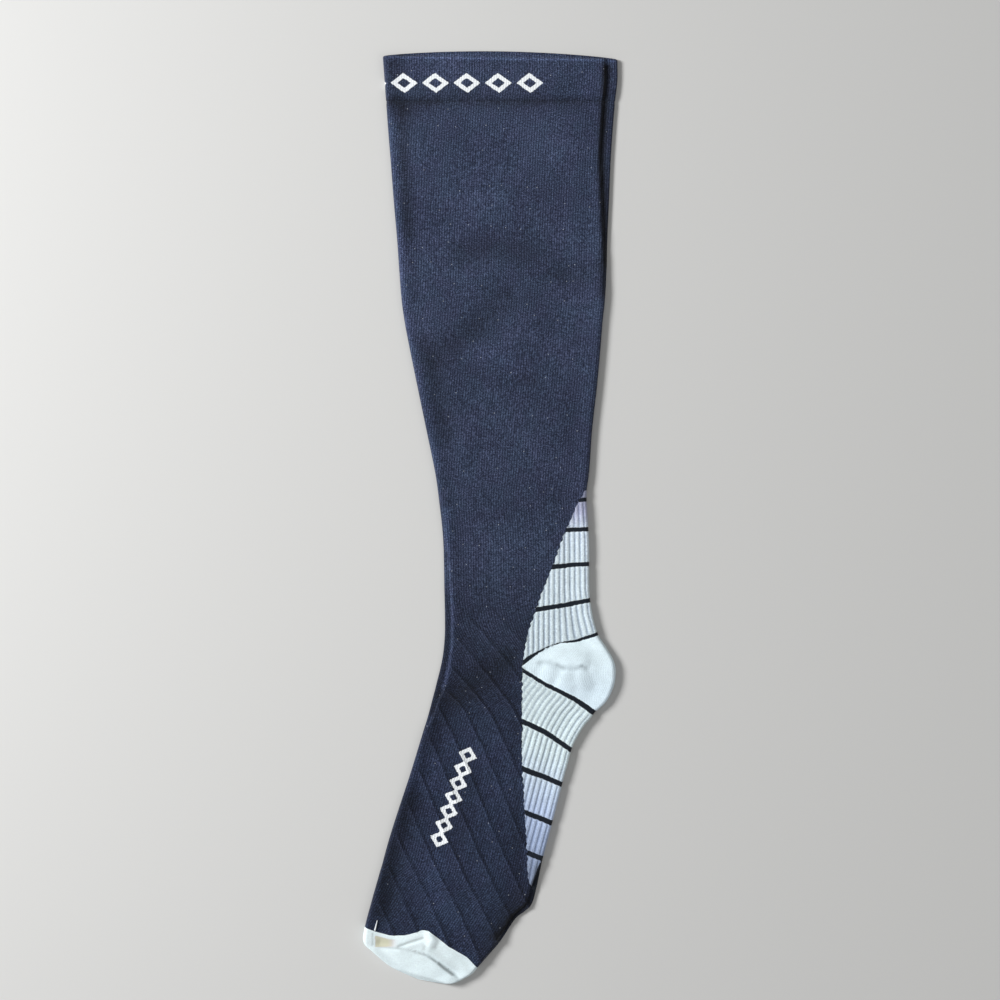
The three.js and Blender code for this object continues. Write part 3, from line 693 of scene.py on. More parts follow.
def meets_edge(fan, station, around, edge):
    """The station at which each column of a grid meets an edge."""
    points, _ = tube_points(fan, station, around, 0, cloth_height, no_relief)
    return first_root(points[..., 1] - edge_y(points[..., 0], edge), station)


def diamonds(along, beside, place):
    """Distance from the outline of a row of diamonds, less half the stroke."""
    first, pitch, half_length, half_height, depth, stroke = DIAMOND_ROWS[place]
    least = np.full(np.shape(along), OFF_MOTIF)
    for index in range(DIAMOND_COUNT):
        lengthways = np.abs(along - first - index * pitch) / half_length
        inward = (1 - lengthways - np.abs(beside) / half_height) * depth
        least = np.minimum(least, np.abs(inward - stroke / 2) - stroke / 2)
    return least


def diamonds_on_foot(x, y):
    way = np.subtract(FOOT_DIAMOND_END, FOOT_DIAMOND_START)
    way = way / np.linalg.norm(way)
    off_x = x - FOOT_DIAMOND_START[0]
    off_y = y - FOOT_DIAMOND_START[1]
    return diamonds(off_x * way[0] + off_y * way[1], off_x * way[1] - off_y * way[0], "foot")


def band_distance(x, y):
    least = np.full(np.shape(x), 1e9)
    for path in BANDS:
        least = np.minimum(least, distance_to_path(x, y, path))
    return least


def ridge_turn(spot):
    """Turns of the raised lines that wind round the ankle and foot, one line at each whole turn."""
    from_front = spot["width"] - spot["across"]
    return (spot["station"] - from_front / RIDGE_SLOPE - RIDGE_START) / RIDGE_PITCH


def ridge_strength(spot):
    from_front = spot["width"] - spot["across"]
    shown = smooth_step(ridge_turn(spot), -0.6, 0.4) * smooth_step(spot["station"], 285, 345)
    return shown * smooth_step(from_front, 2, 6)


def ridge_relief(spot):
    """Raised lines with the cloth hanging a little between them."""
    turn = ridge_turn(spot)
    away = (turn - np.round(turn)) * RIDGE_PITCH * math.sin(math.atan(RIDGE_SLOPE))
    between = np.sin((turn - np.floor(turn)) * math.pi)
    relief = RIDGE_HEIGHT * bell(away / 0.8) + TROUGH_DEPTH * (0.4 - between)
    return ridge_strength(spot) * relief


def rib_shape(turn):
    """A rounded rib with a groove at each whole turn."""
    away = np.abs(turn - np.round(turn))
    return 1 - bell(away / RIB_GROOVE)


def ankle_turn(spot):
    """Turns of the ankle's ribs, upright at the front and bending out with the heel at the back."""
    ankle_x = tube.row(np.array([STATION["ankle"]]))[1][0][0]
    fold_x = np.interp(-spot["y"], -tube.back[:, 1], tube.back[:, 0])
    bend = smooth(np.clip((spot["x"] - RIB_BEND_X) / (fold_x - RIB_BEND_X), 0, 1))
    return (ankle_x - FOLD_RADIUS - spot["x"] + (fold_x - ankle_x) * bend) / ANKLE_RIB_PITCH


def ankle_relief(spot):
    flat = smooth_step(band_distance(spot["x"], spot["y"]), -0.4, 0.5)
    return RIB_HEIGHT * rib_shape(ankle_turn(spot)) * flat


def sole_relief(spot):
    flat = smooth_step(band_distance(spot["x"], spot["y"]), -0.4, 0.5)
    return RIB_HEIGHT * rib_shape((spot["across"] - FOLD_RADIUS) / SOLE_RIB_PITCH) * flat


def common_attributes(spot, around, station):
    return {"around": np.abs(around), "along": station * np.ones(np.shape(around))}

# The double band at the mouth
WELT_COLUMNS = 84 * GRID_STEP
WELT_SPACING = 0.65
RIM_RADIUS = 1.1
SEAM_RADIUS = 0.5
stations = stepped(0, STATION["welt seam"] - SEAM_GAP / 2, WELT_SPACING)
share = np.linspace(-1, 1, WELT_COLUMNS + 1)[None, :]
station = stations[:, None] * np.ones_like(share)
half_length = tube.half_round(station)
around = share * half_length
seam_turn = rounding(stations[-1] - station, SEAM_RADIUS, SEAM_RADIUS)
turned = np.maximum(rounding(station, RIM_RADIUS, WELT_WALL), seam_turn)


def welt_lean(points, station):
    """Lets the back rim of the mouth show above the front rim, most of all in its middle."""
    front, back, width = tube.row(station)
    share = np.clip((points[..., 0] - front[..., 0]) / (back[..., 0] - front[..., 0]), 0, 1)
    lean = BACK_RIM_REACH + BACK_RIM_ARCH * np.sin(share * math.pi) ** 0.7
    lean = lean * np.maximum(1 - station / RIM_TAPER, 0) ** 1.5
    points[..., 1] += lean * np.clip(1 - points[..., 2] / WELT_HEIGHT, 0, 1)
    return points

inner_wall = WELT_WALL - turned[::GRID_STEP, ::GRID_STEP]
outer, inner, spot = wall_points(
    tube, station, around, turned, inner_wall, welt_height, no_relief, GRID_STEP, GRID_STEP
)
outer = welt_lean(outer, station)
inner = welt_lean(inner, station[::GRID_STEP, ::GRID_STEP])
attributes = common_attributes(spot, around, station)
from_front = half_length - np.abs(around)
signed_front = np.where(around >= 0, from_front, -from_front)
attributes["motif"] = diamonds(signed_front, spot["y"] - WELT_DIAMOND_Y, "welt")
welt = shell_object("welt_cloth", outer, inner, attributes, [False] * (len(stations) // GRID_STEP))


# The dark leg and foot, open along the back fold where the pale zones are
LEG_START = STATION["welt seam"] + SEAM_GAP / 2
tip_stations = np.linspace(STATION["gusset tip"] - 12, STATION["gusset tip"] + 12, 240)
tip_station = float(tip_stations[np.argmax(gusset_reach(tube, tip_stations, False) > 0)])
end_stations = np.linspace(STATION["sole tip"] - 25, STATION["sole tip"] + 25, 500)
end_station = float(end_stations[np.argmax(gusset_reach(tube, end_stations, False) <= 0)])
FOOT_BLEND = end_station + 4
EDGE_STEPPING = 3
TUBE_COLUMNS = 216
UPPER_SPACING = 2.0
LOWER_SPACING = 1.0
tube_share = np.linspace(0, 1, TUBE_COLUMNS + 1)[None, :]


def signed_way(station, share):
    """The signed way round for a share of the tube from the back fold, over the top and under."""
    half_length = tube.half_round(station)
    way = share * 2 * half_length
    return np.where(way > half_length, way - 2 * half_length, way)


toe_search = np.linspace(FOOT_BLEND, STATION["toe curve"] + 3, 400)[:, None] * np.ones_like(tube_share)
toe_starts = meets_edge(tube, toe_search, signed_way(toe_search, tube_share), TOE_EDGE)


def leg_grid(stations):
    """Stations and ways round for the dark piece, trimmed at the gusset and at the toe."""
    plain = half_way(gusset_reach(tube, stations, False))[:, None]
    toothed = np.where(plain > 0, half_way(gusset_reach(tube, stations))[:, None], 0)
    half_length = tube.half_round(stations)[:, None]
    way = plain + (2 * half_length - 2 * plain) * tube_share
    near_start = np.clip(1 - (way - plain) / EDGE_STEPPING, 0, 1)
    near_end = np.clip(1 - (2 * half_length - plain - way) / EDGE_STEPPING, 0, 1)
    way = way + (toothed - plain) * (near_start - near_end)
    station = stations[:, None] * np.ones_like(tube_share)
    stretch = (toe_starts - FOOT_BLEND) / (stations[-1] - FOOT_BLEND)
    blended = station > FOOT_BLEND
    station = np.where(blended, FOOT_BLEND + (station - FOOT_BLEND) * stretch[None, :], station)
    around = np.where(way > half_length, way - 2 * half_length, way)
    return station, np.where(station > FOOT_BLEND, signed_way(station, tube_share), around)


upper_leg = stepped(LEG_START, tip_station, UPPER_SPACING)
lower_leg = stepped(tip_station, end_station, LOWER_SPACING)
fore_foot = stepped(end_station, STATION["toe line"], LOWER_SPACING)
stations = np.concatenate([upper_leg, lower_leg[1:], fore_foot[1:]])
station, around = leg_grid(stations)
seam_turn = rounding(station - LEG_START, SEAM_RADIUS, SEAM_RADIUS)
outer, inner, spot = wall_points(
    tube, station, around, seam_turn, KNIT_WALL, cloth_height, ridge_relief, GRID_STEP, GRID_STEP
)
attributes = common_attributes(spot, around, station)
attributes["motif"] = np.where(around >= 0, diamonds_on_foot(spot["x"], spot["y"]), OFF_MOTIF)
attributes["turn"] = ridge_turn(spot)
attributes["shown"] = ridge_strength(spot)
coarse = (stations[:-1:GRID_STEP] + stations[GRID_STEP::GRID_STEP]) / 2
open_sides = ((coarse > tip_station) & (coarse < end_station)).tolist()
leg = shell_object("leg_and_foot_cloth", outer, inner, attributes, open_sides)


# The pale zones next to the back fold
def gusset_ways(fan, share, station):
    """Ways round for shares from -1 to 1 of the pale zone's reach, with the knitted steps at its edge."""
    places = np.linspace(station.min(), station.max(), 1200)
    plain = half_way(gusset_reach(fan, places, False))
    toothed = np.where(plain > 0, half_way(gusset_reach(fan, places)), 0)
    reach = np.interp(station, places, plain)
    stepping = np.interp(station, places, toothed - plain)
    near_edge = np.clip(1 - (reach - np.abs(share) * reach) / EDGE_STEPPING, 0, 1)
    return share * reach + np.sign(share) * stepping * near_edge


def crossing(fan, share, start, end, edge):
    """The station at which each column crosses an edge on its way from start to end."""
    station = np.linspace(start, end, 700)[:, None] * np.ones_like(share)
    return meets_edge(fan, station, gusset_ways(fan, share, station), edge)


def pale_piece(name, fan, share, begin, finish, rows, relief, groove):
    """A shell round the back fold from one line of stations to another."""
    station = begin + (finish - begin) * np.linspace(0, 1, rows + 1)[:, None]
    around = gusset_ways(fan, share, station)
    steps = (PALE_ROW_STEP, PALE_COLUMN_STEP)
    outer, inner, spot = wall_points(fan, station, around, 0, KNIT_WALL, cloth_height, relief, *steps)
    attributes = common_attributes(spot, around, station)
    attributes["band"] = band_distance(spot["x"], spot["y"])
    attributes["groove"] = groove(spot)
    return shell_object(name, outer, inner, attributes, [True] * (rows // PALE_ROW_STEP))


def sole_groove(spot):
    return 1 - rib_shape((spot["across"] - FOLD_RADIUS) / SOLE_RIB_PITCH)


def ankle_groove(spot):
    return 1 - rib_shape(ankle_turn(spot))


PALE_ROW_STEP = 4
PALE_COLUMN_STEP = 8
RIB_COLUMNS = 400
HEEL_COLUMNS = 224
ANKLE_ROWS = 100
HEEL_ROWS = 72
SOLE_ROW_COUNT = 124
rib_share = np.linspace(-1, 1, RIB_COLUMNS + 1)[None, :]
heel_share = np.linspace(-1, 1, HEEL_COLUMNS + 1)[None, :]
ankle_start = tip_station + 0.7
search = (tip_station + 1, STATION["heel bottom"], HEEL_TOP_EDGE)
ankle_end = crossing(tube, rib_share, *search)
heel_start = crossing(tube, heel_share, *search)
heel_end = crossing(tube, heel_share, STATION["heel top"], STATION["sole bend"], HEEL_BOTTOM_EDGE)
sole_start = crossing(sole, rib_share, STATION["heel"], STATION["sole bend"], HEEL_BOTTOM_EDGE)
ankle = pale_piece(
    "ankle_gusset_cloth", tube, rib_share, ankle_start, ankle_end, ANKLE_ROWS, ankle_relief, ankle_groove
)
heel = pale_piece("heel_cloth", tube, heel_share, heel_start, heel_end, HEEL_ROWS, no_relief, no_relief)
sole_gusset = pale_piece(
    "sole_gusset_cloth", sole, rib_share, sole_start, end_station, SOLE_ROW_COUNT, sole_relief, sole_groove
)

# The closed toe
TOE_ROWS = 48
TOE_STEP = 6
TOE_CLOSING = 5.0
LEAST_TOE_HEIGHT = 0.6
TOE_INNER_DEPTH = TOE_WALL * 0.6
last_station = STATION["toe end"] - 0.05
rows = np.linspace(0, 1, TOE_ROWS + 1)[:, None]
station = toe_starts[None, :] + (last_station - toe_starts)[None, :] * rows
around = signed_way(station, tube_share)


def toe_height(spot):
    """The toe closes to an edge at its end."""
    closing = np.sqrt(np.clip((STATION["toe end"] - spot["station"]) / TOE_CLOSING, 0, 1))
    return np.maximum(cloth_height(spot) * closing, LEAST_TOE_HEIGHT)


outer, inner, spot = wall_points(
    tube, station, around, 0, TOE_INNER_DEPTH, toe_height, no_relief, TOE_STEP, TOE_STEP
)
attributes = common_attributes(spot, around, station)
attributes["band"] = np.full(np.shape(station), OFF_MOTIF)
attributes["groove"] = np.zeros(np.shape(station))
toe = shell_object("toe_cloth", outer, inner, attributes, [False] * (TOE_ROWS // TOE_STEP))


# Materials
def linear(colour):
    """A colour given from 0 to 255 as it shows on a screen, turned into light values."""
    parts = [value / 255 for value in colour]
    lights = [part / 12.92 if part <= 0.04045 else ((part + 0.055) / 1.055) ** 2.4 for part in parts]
    return (*lights, 1.0)


class Surface:
    """Builds the nodes of one material."""

    def __init__(self, name):
        self.material = bpy.data.materials.new(name)
        self.material.use_nodes = True
        self.tree = self.material.node_tree
        self.shader = self.tree.nodes["Principled BSDF"]

    def put(self, socket, value):
        if isinstance(value, bpy.types.NodeSocket):
            self.tree.links.new(value, socket)
        else:
            socket.default_value = value

    def node(self, kind, *values, **named):
        """A new node, its first inputs set in their order and others by their names."""
        node = self.tree.nodes.new("ShaderNode" + kind)
        for socket, value in zip(node.inputs, values):
            self.put(socket, value)
        for key, value in named.items():
            self.put(node.inputs[key], value)
        return node

    def attribute(self, name):
        node = self.node("Attribute")
        node.attribute_name = name
        return node.outputs["Fac"]

    def place(self):
        return self.node("TexCoord").outputs["Object"]

    def math(self, operation, *values):
        node = self.node("Math", *values)
        node.operation = operation
        return node.outputs[0]

    def scaled(self, value, factor, added=0.0):
        """A value times a factor, with another value added."""
        return self.math("MULTIPLY_ADD", value, factor, added)

    def point(self, x, y, z=0.0):
        return self.node("CombineXYZ", x, y, z).outputs[0]

    def noise(self, place, scale, detail=2.0, roughness=0.5):
        node = self.node("TexNoise", Vector=place, Scale=scale, Detail=detail, Roughness=roughness)
        return node.outputs["Fac"]

    def spread(self, value, low, high, new_low=0.0, new_high=1.0):
        return self.node("MapRange", value, low, high, new_low, new_high).outputs[0]

    def mix(self, share, first, second, blend="MIX"):
        node = self.node("Mix")
        node.data_type = "RGBA"
        node.blend_type = blend
        for key, value in (("Factor", share), (6, first), (7, second)):
            self.put(node.inputs[key], value)
        return node.outputs[2]

    def ramp(self, value, stops):
        node = self.tree.nodes.new("ShaderNodeValToRGB")
        while len(node.color_ramp.elements) < len(stops):
            node.color_ramp.elements.new(1.0)
        for element, (place, colour) in zip(node.color_ramp.elements, stops):
            element.position = place
            element.color = colour
        self.put(node.inputs["Fac"], value)
        return node.outputs["Color"]

    def tinted(self, colour, tint):
        return self.mix(1.0, colour, tint, "MULTIPLY")

    def shaded(self, colour, share):
        """A colour made lighter or darker by a share that is 1 where it stays as it is."""
        return self.tinted(colour, self.point(share, share, share))

    def finish(self, colour, height, depth, roughness, sheen):
        bump = self.node("Bump", Strength=1.0, Distance=depth, Height=height)
        self.put(self.shader.inputs["Base Color"], colour)
        self.put(self.shader.inputs["Normal"], bump.outputs["Normal"])
        self.shader.inputs["Roughness"].default_value = roughness
        self.shader.inputs["Specular IOR Level"].default_value = SPECULAR
        self.shader.inputs["Sheen Weight"].default_value = sheen
        self.shader.inputs["Sheen Roughness"].default_value = SHEEN_ROUGHNESS
        return self.material


def stitches(surface, wale, course):
    """Heights of a plain knit: columns of V-shaped stitches, and the columns alone."""
    column = surface.math("DIVIDE", surface.attribute("around"), wale)
    side = surface.math("PINGPONG", column, 0.5)
    row = surface.math("DIVIDE", surface.attribute("along"), course)
    step = surface.math("PINGPONG", surface.scaled(side, STITCH_SLANT, row), 0.5)
    across = surface.math("POWER", surface.scaled(side, 2.0), 0.5)
    down = surface.math("POWER", surface.scaled(step, 2.0), 0.5)
    return surface.scaled(across, down), across


SPECULAR = 0.25
SHEEN_ROUGHNESS = 0.45
STITCH_SLANT = 1.3
DARK_WALE = 1.45
DARK_COURSE = 1.15
PALE_COURSE = 1.2
LINT_SPACING = 11.0
LINT_SIZE = 0.024
NAVY_DARK = linear((20, 26, 45))
NAVY = linear((48, 58, 82))
NAVY_LIGHT = linear((94, 108, 140))
VIOLET_TINT = (1.05, 0.98, 1.02, 1.0)
BLUE_TINT = (0.96, 1.01, 1.0, 1.0)
FOOT_TINT = (0.94, 1.01, 1.10, 1.0)
WHITE = (1.0, 1.0, 1.0, 1.0)
BAND_NAVY = linear((8, 13, 22))
BAND_LIGHT = linear((27, 36, 48))
YARN_WHITE = linear((248, 251, 253))


def dark_colour(surface, column):
    place = surface.place()
    streak_x = surface.scaled(surface.attribute("around"), 0.75)
    streak_y = surface.scaled(surface.attribute("along"), 0.12)
    speckle = surface.noise(place, 1250.0, 2.0, 0.7)
    streak = surface.noise(surface.point(streak_x, streak_y), 1.0, 2.0)
    broad = surface.noise(place, 26.0, 3.0)
    light = surface.scaled(speckle, 0.74, surface.scaled(streak, 0.08))
    light = surface.scaled(broad, 0.14, surface.scaled(column, 0.16, light))
    colour = surface.ramp(light, [(0.455, NAVY_DARK), (0.605, NAVY), (0.79, NAVY_LIGHT)])
    hue = surface.mix(surface.spread(surface.noise(place, 90.0, 3.0), 0.38, 0.62), VIOLET_TINT, BLUE_TINT)
    on_foot = surface.spread(surface.attribute("along"), STATION["ankle"], STATION["arch"])
    colour = surface.tinted(surface.tinted(colour, hue), surface.mix(on_foot, WHITE, FOOT_TINT))
    # Painted light and shade along folds, creases and rims, and by height on the leg
    return surface.shaded(colour, surface.attribute("painted_shading"))


def ridge_painted_highlight_and_shadow(surface):
    """A painted highlight on each raised ridge and a painted shadow on its upper side, as shares of the
    painted shading.
    """
    place = surface.math("FRACT", surface.math("ADD", surface.attribute("turn"), 0.5))
    from_ridge = surface.math("ABSOLUTE", surface.math("SUBTRACT", place, 0.5))
    from_shadow_line = surface.math("ABSOLUTE", surface.math("SUBTRACT", place, 0.40))
    uneven = surface.spread(surface.noise(surface.place(), 34.0, 2.0), 0.36, 0.64, 0.45, 1.15)
    shown = surface.scaled(surface.attribute("shown"), uneven)
    light = surface.scaled(surface.spread(from_ridge, 0.0, 0.05, 1.0, 0.0), shown)
    dark = surface.scaled(surface.spread(from_shadow_line, 0.0, 0.09, 1.0, 0.0), shown)
    return light, dark


def lint_share(surface):
    """Sparse specks of lint: one near the middle of some cells."""
    place = surface.point(surface.attribute("around"), surface.attribute("along"))
    node = surface.node("TexVoronoi", Vector=place, Scale=1.0 / LINT_SPACING)
    node.voronoi_dimensions = "2D"
    near = surface.math("LESS_THAN", node.outputs["Distance"], LINT_SIZE)
    return surface.scaled(near, surface.math("GREATER_THAN", node.outputs["Color"], 0.55))


def dark_knit():
    surface = Surface("dark_heathered_knit")
    stitch, column = stitches(surface, DARK_WALE, DARK_COURSE)
    light, dark = ridge_painted_highlight_and_shadow(surface)
    # The ridges' painted highlight and painted shadow lighten and darken the knit's colour
    share = surface.scaled(light, 0.34, surface.scaled(dark, -0.40, 1.0))
    colour = surface.shaded(dark_colour(surface, column), share)
    uneven = surface.scaled(surface.noise(surface.place(), 950.0), 1.1, -0.55)
    motif = surface.math("ADD", surface.attribute("motif"), uneven)
    in_motif = surface.spread(motif, -0.12, 0.12, 1.0, 0.0)
    yarn = surface.ramp(stitch, [(0.0, linear((222, 229, 236))), (0.6, YARN_WHITE)])
    colour = surface.mix(in_motif, colour, yarn)
    colour = surface.mix(surface.scaled(lint_share(surface), 0.55), colour, linear((190, 196, 206)))
    height = surface.scaled(surface.noise(surface.place(), 1800.0, 2.0), 0.6, stitch)
    return surface.finish(colour, surface.scaled(light, 1.2, height), 0.00024, 0.92, 0.14)


# Painted shade in the grooves between the pale ribs, as tints
ANKLE_GROOVE_SHADE = (0.58, 0.61, 0.68, 1.0)
SOLE_GROOVE_SHADE = (0.66, 0.68, 0.73, 1.0)


def pale_knit(name, wale, stops, groove_shade, depth, mottle):
    """Pale knit whose colour follows the tone attribute, with painted shade in the grooves between the ribs,
    painted light and shade along creases and folds, beige painted shade in the toe's hollow, and dark bands.
    """
    surface = Surface(name)
    stitch, _ = stitches(surface, wale, PALE_COURSE)
    tone = surface.ramp(surface.attribute("tone"), stops)
    place = surface.place()
    speckle = surface.noise(place, 1300.0, 3.0, 0.6)
    tone = surface.shaded(tone, surface.spread(speckle, 0.3, 0.7, 1.0 - mottle, 1.04))
    patch = surface.noise(place, 170.0, 3.0)
    tone = surface.shaded(tone, surface.spread(patch, 0.35, 0.65, 0.95, 1.03))
    # Painted shade in the grooves between the ribs, ragged along them
    ragged = surface.spread(surface.noise(place, 850.0, 2.0), 0.3, 0.7, -0.28, 0.28)
    groove = surface.math("ADD", surface.attribute("groove"), ragged)
    groove = surface.scaled(stitch, -0.22, groove)
    groove = surface.mix(surface.spread(groove, 0.05, 0.80), WHITE, groove_shade)
    # Painted light and shade along creases and folds
    colour = surface.shaded(surface.tinted(tone, groove), surface.attribute("painted_shading"))
    # Beige painted shade in the hollow inside the toe's fold
    in_hollow_shade = surface.attribute("hollow")
    hollow = surface.ramp(in_hollow_shade, [(0.3, linear((216, 208, 210))), (0.9, linear((204, 201, 172)))])
    colour = surface.mix(surface.spread(in_hollow_shade, 0.0, 0.6, 0.0, 0.85), colour, hollow)
    uneven = surface.scaled(surface.noise(place, 750.0), 0.9, -0.45)
    band = surface.math("ADD", surface.attribute("band"), uneven)
    near_band = surface.spread(band, 0.2, 1.6, 0.30, 0.0)
    colour = surface.mix(near_band, colour, surface.shaded(tone, 1.05))
    in_band = surface.spread(band, -0.12, 0.12, 1.0, 0.0)
    colour = surface.mix(in_band, colour, surface.mix(speckle, BAND_NAVY, BAND_LIGHT))
    return surface.finish(colour, surface.scaled(speckle, 0.7, stitch), depth, 0.9, 0.12)


ANKLE_STOPS = [
    # share of the way up from the heel, colour
    (0.0, linear((232, 248, 255))),
    (0.5, linear((233, 248, 255))),
    (0.72, linear((230, 244, 255))),
    (0.84, linear((192, 196, 222))),
    (1.0, linear((146, 150, 174))),
]
SOLE_STOPS = [
    # share of the way from the heel to the tip, colour
    (0.0, linear((234, 251, 255))),
    (0.22, linear((234, 251, 255))),
    (0.38, linear((222, 239, 255))),
    (0.54, linear((201, 218, 247))),
    (0.70, linear((174, 191, 222))),
    (0.86, linear((146, 160, 187))),
]
HEEL_STOPS = [(0.0, linear((231, 248, 255))), (1.0, linear((226, 244, 255)))]
TOE_STOPS = [(0.0, linear((238, 252, 255))), (1.0, linear((234, 250, 255)))]

navy_cloth = dark_knit()
ankle_cloth = pale_knit("pale_ankle_ribs", 0.8, ANKLE_STOPS, ANKLE_GROOVE_SHADE, 0.00022, 0.24)
sole_cloth = pale_knit("pale_sole_ribs", 0.8, SOLE_STOPS, SOLE_GROOVE_SHADE, 0.00022, 0.24)
heel_cloth = pale_knit("white_heel_knit", 1.0, HEEL_STOPS, WHITE, 0.00014, 0.09)
toe_cloth = pale_knit("white_toe_knit", 1.0, TOE_STOPS, WHITE, 0.00014, 0.10)


def set_attribute(piece, name, value_of):
    """Writes an attribute worked out from each point's place and its other attributes."""
    mesh = piece.data
    count = len(mesh.vertices)
    points = np.zeros(count * 3, np.float32)
    mesh.vertices.foreach_get("co", points)
    along = np.zeros(count, np.float32)
    mesh.attributes["along"].data.foreach_get("value", along)
    layer = mesh.attributes.get(name) or mesh.attributes.new(name, "FLOAT", "POINT")
    layer.data.foreach_set("value", value_of(points.reshape(-1, 3) / MM, along).astype(np.float32))


def ankle_tone(points, along):
    start = STATION["heel top"] + 8
    return np.clip((start - along) / (start - tip_station), 0, 1)


def sole_tone(points, along):
    start = STATION["heel bottom"]
    return np.clip((along - start) / (end_station - start), 0, 1)


# Painted highlights and painted shade along the paths of the painted shading table, as shares of the colour
def painted_local_shading(points, along):
    painted_shading = np.ones(len(points))
    for _, width, change, path in PAINTED_SHADING:
        painted_shading = painted_shading * (1 + change * bell(distance_to_path(points[:, 0], points[:, 1], path) / width))
    return painted_shading


# The dark cloth's painted light and shade: the local painted shading times the painted shade by height
def dark_painted_shading(points, along):
    marks = np.array(DARK_PAINTED_SHADING)[::-1]
    return painted_local_shading(points, along) * np.interp(points[:, 1], marks[:, 0], marks[:, 1])


def toe_hollow_shade(points, along):
    """Where beige painted shade fills the hollow inside the fold at the toe's front, crisp but for its right
    end.
    """
    sideways = smooth_step(points[:, 0], -66.4, -65.9) * (1 - smooth_step(points[:, 0], -61, -51.5))
    below = edge_y(points[:, 0], TOE_EDGE) - points[:, 1]
    upright = smooth_step(points[:, 1], -248.6, -247.9) * smooth_step(below, 1.9, 2.7)
    return sideways * upright


HEEL_TONE_START = 80
HEEL_TONE_LENGTH = 20
TOE_TONE_START = 240
TOE_TONE_LENGTH = 30


def heel_tone(points, along):
    return np.clip((-points[:, 1] - HEEL_TONE_START) / HEEL_TONE_LENGTH, 0, 1)


def toe_tone(points, along):
    return np.clip((-points[:, 1] - TOE_TONE_START) / TOE_TONE_LENGTH, 0, 1)


# Each pale piece's tone and painted light and shade, then the dark pieces' painted light and shade
for piece, tone_of in ((ankle, ankle_tone), (sole_gusset, sole_tone), (heel, heel_tone), (toe, toe_tone)):
    set_attribute(piece, "tone", tone_of)
    set_attribute(piece, "painted_shading", painted_local_shading)
set_attribute(toe, "hollow", toe_hollow_shade)
for piece in (welt, leg):
    set_attribute(piece, "painted_shading", dark_painted_shading)

# The loose end of yarn at the toe
THREAD_TAIL = [
    # x, y, height above the cloth, radius
    (-65.6, -248.2, 0.3, 1.0),
    (-66.3, -247.0, 0.5, 1.1),
    (-66.7, -245.4, 0.6, 0.66),
    (-66.8, -243.4, 0.5, 0.56),
    (-66.6, -240.8, 0.5, 0.52),
    (-66.2, -238.2, 0.6, 0.46),
    (-65.5, -235.2, 0.6, 0.34),
    (-64.9, -232.9, 0.5, 0.18),
]
THREAD_SIDES = 10
THREAD_STEPS = 6


def thread_object(name, rows, surfaces):
    """A short end of yarn that lies on the cloth, as a closed tube."""
    table = np.array(rows, float)
    places = np.linspace(0, len(table) - 1, (len(table) - 1) * THREAD_STEPS + 1)
    line = np.stack([np.interp(places, np.arange(len(table)), table[:, key]) for key in range(4)], axis=1)
    shape = bmesh.new()
    rings = []
    for x, y, lift, radius in line:
        nearest = min(surfaces, key=lambda point: (point[0] - x) ** 2 + (point[1] - y) ** 2)
        ring = []
        for side in range(THREAD_SIDES):
            angle = side / THREAD_SIDES * 2 * math.pi
            place = (x + radius * math.cos(angle), y, nearest[2] + lift + radius * math.sin(angle))
            ring.append(shape.verts.new(Vector(place) * MM))
        rings.append(ring)
    for ring, after in zip(rings, rings[1:]):
        for side in range(THREAD_SIDES):
            other = (side + 1) % THREAD_SIDES
            shape.faces.new([ring[side], ring[other], after[other], after[side]])
    shape.faces.new(rings[0])
    shape.faces.new(rings[-1])
    bmesh.ops.recalc_face_normals(shape, faces=shape.faces)
    mesh = bpy.data.meshes.new(name)
    shape.to_mesh(mesh)
    shape.free()
    mesh.shade_smooth()
    return add_object(name, mesh)


def yarn():
    surface = Surface("white_yarn")
    fibre = surface.noise(surface.place(), 2600.0, 3.0, 0.6)
    colour = surface.ramp(fibre, [(0.3, linear((206, 214, 222))), (0.6, YARN_WHITE)])
    return surface.finish(colour, fibre, 0.0001, 0.85, 0.12)

THREAD_LOW = (-72, -250)
THREAD_HIGH = (-60, -228)


def points_near_thread(piece):
    """The points of a piece's upper side round the thread, in millimetres."""
    found = []
    for vertex in piece.data.vertices:
        x, y, z = vertex.co / MM
        inside = THREAD_LOW[0] < x < THREAD_HIGH[0] and THREAD_LOW[1] < y < THREAD_HIGH[1]
        if inside and vertex.normal.z > 0.3:
            found.append((x, y, z))
    return found


thread = thread_object("thread_tail", THREAD_TAIL, points_near_thread(toe) + points_near_thread(leg))
thread.data.materials.append(yarn())
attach(thread, "root")

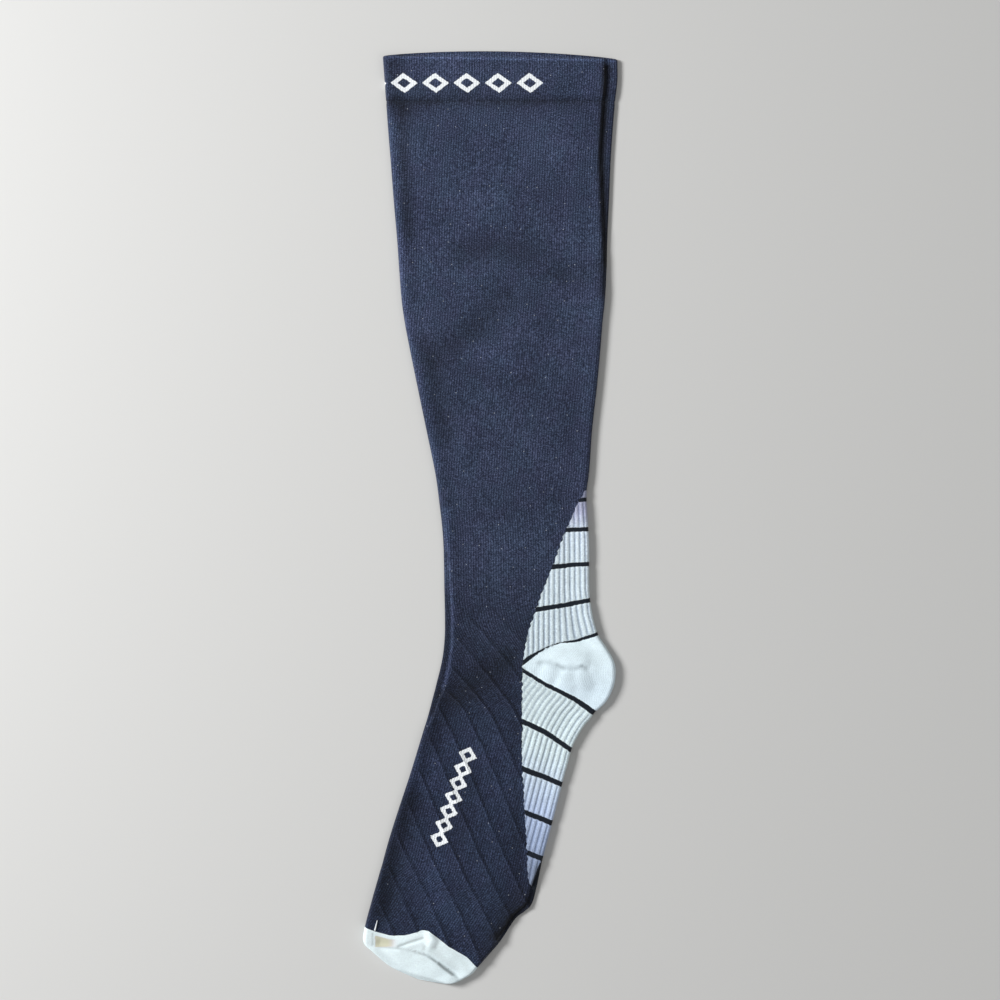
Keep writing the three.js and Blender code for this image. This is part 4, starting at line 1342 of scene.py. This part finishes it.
# What each piece stands for and how it is cut: width all round the tube and length, in metres
PIECES = [
    # piece, node, slot, material, width, length, area
    (welt, "cuff_welt", "dark_knit", navy_cloth, 0.272, 0.026, None),
    (leg, "leg_and_foot", "dark_knit", navy_cloth, 0.272, 0.520, 0.088),
    (ankle, "ankle_gusset", "pale_rib", ankle_cloth, 0.110, 0.105, 0.0044),
    (heel, "heel_pocket", "white_knit", heel_cloth, 0.110, 0.055, 0.0031),
    (sole_gusset, "sole_gusset", "pale_rib", sole_cloth, 0.090, 0.140, 0.0057),
    (toe, "toe_cap", "white_knit", toe_cloth, 0.140, 0.032, 0.0030),
]
for piece, node, slot, material, width, length, area in PIECES:
    piece.data.materials.append(material)
    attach(piece, "root")
    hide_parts(node)

# Floor, light and camera
VIEW_WIDTH = 0.580
VIEW_HEIGHT = 0.95
SEEN_HEIGHT = 0.0025
SENSOR = 36.0
VIEW_MIDDLE = (0.0061, 0.0104)
FLOOR_SIDE = 2
FLOOR_COLOUR = (0.60, 0.60, 0.59, 1)
SKY_STRENGTH = 0.27

corners = [(x * FLOOR_SIDE, y * FLOOR_SIDE, 0) for x, y in ((-1, -1), (1, -1), (1, 1), (-1, 1))]
floor_mesh = bpy.data.meshes.new("floor")
floor_mesh.from_pydata(corners, [], [(0, 1, 2, 3)])
floor_paint = Surface("pale_floor")
floor_paint.shader.inputs["Base Color"].default_value = FLOOR_COLOUR
floor_paint.shader.inputs["Roughness"].default_value = 0.8
floor_mesh.materials.append(floor_paint.material)
add_object("floor", floor_mesh)


def place_light(name, place, size, power):
    """A round soft light that faces the middle of the object."""
    data = bpy.data.lights.new(name, "AREA")
    data.shape = "DISK"
    data.size = size
    data.energy = power
    light = add_object(name, data)
    light.location = place
    light.rotation_mode = "QUATERNION"
    light.rotation_quaternion = (-Vector(place)).to_track_quat("-Z", "Y")


place_light("key", (-1.5, 0.45, 1.05), 0.6, 44.5)
place_light("fill", (1.2, -0.9, 1.6), 1.6, 6)

world = bpy.data.worlds.new("studio")
world.use_nodes = True
world.node_tree.nodes["Background"].inputs["Color"].default_value = (1, 1, 1, 1)
world.node_tree.nodes["Background"].inputs["Strength"].default_value = SKY_STRENGTH
bpy.context.scene.world = world
bpy.context.scene.view_settings.view_transform = "Standard"

camera_data = bpy.data.cameras.new("camera")
camera_data.sensor_width = SENSOR
camera_data.lens = SENSOR * VIEW_HEIGHT / VIEW_WIDTH
camera = add_object("camera", camera_data)
camera.location = (*VIEW_MIDDLE, VIEW_HEIGHT + SEEN_HEIGHT)
bpy.context.scene.camera = camera
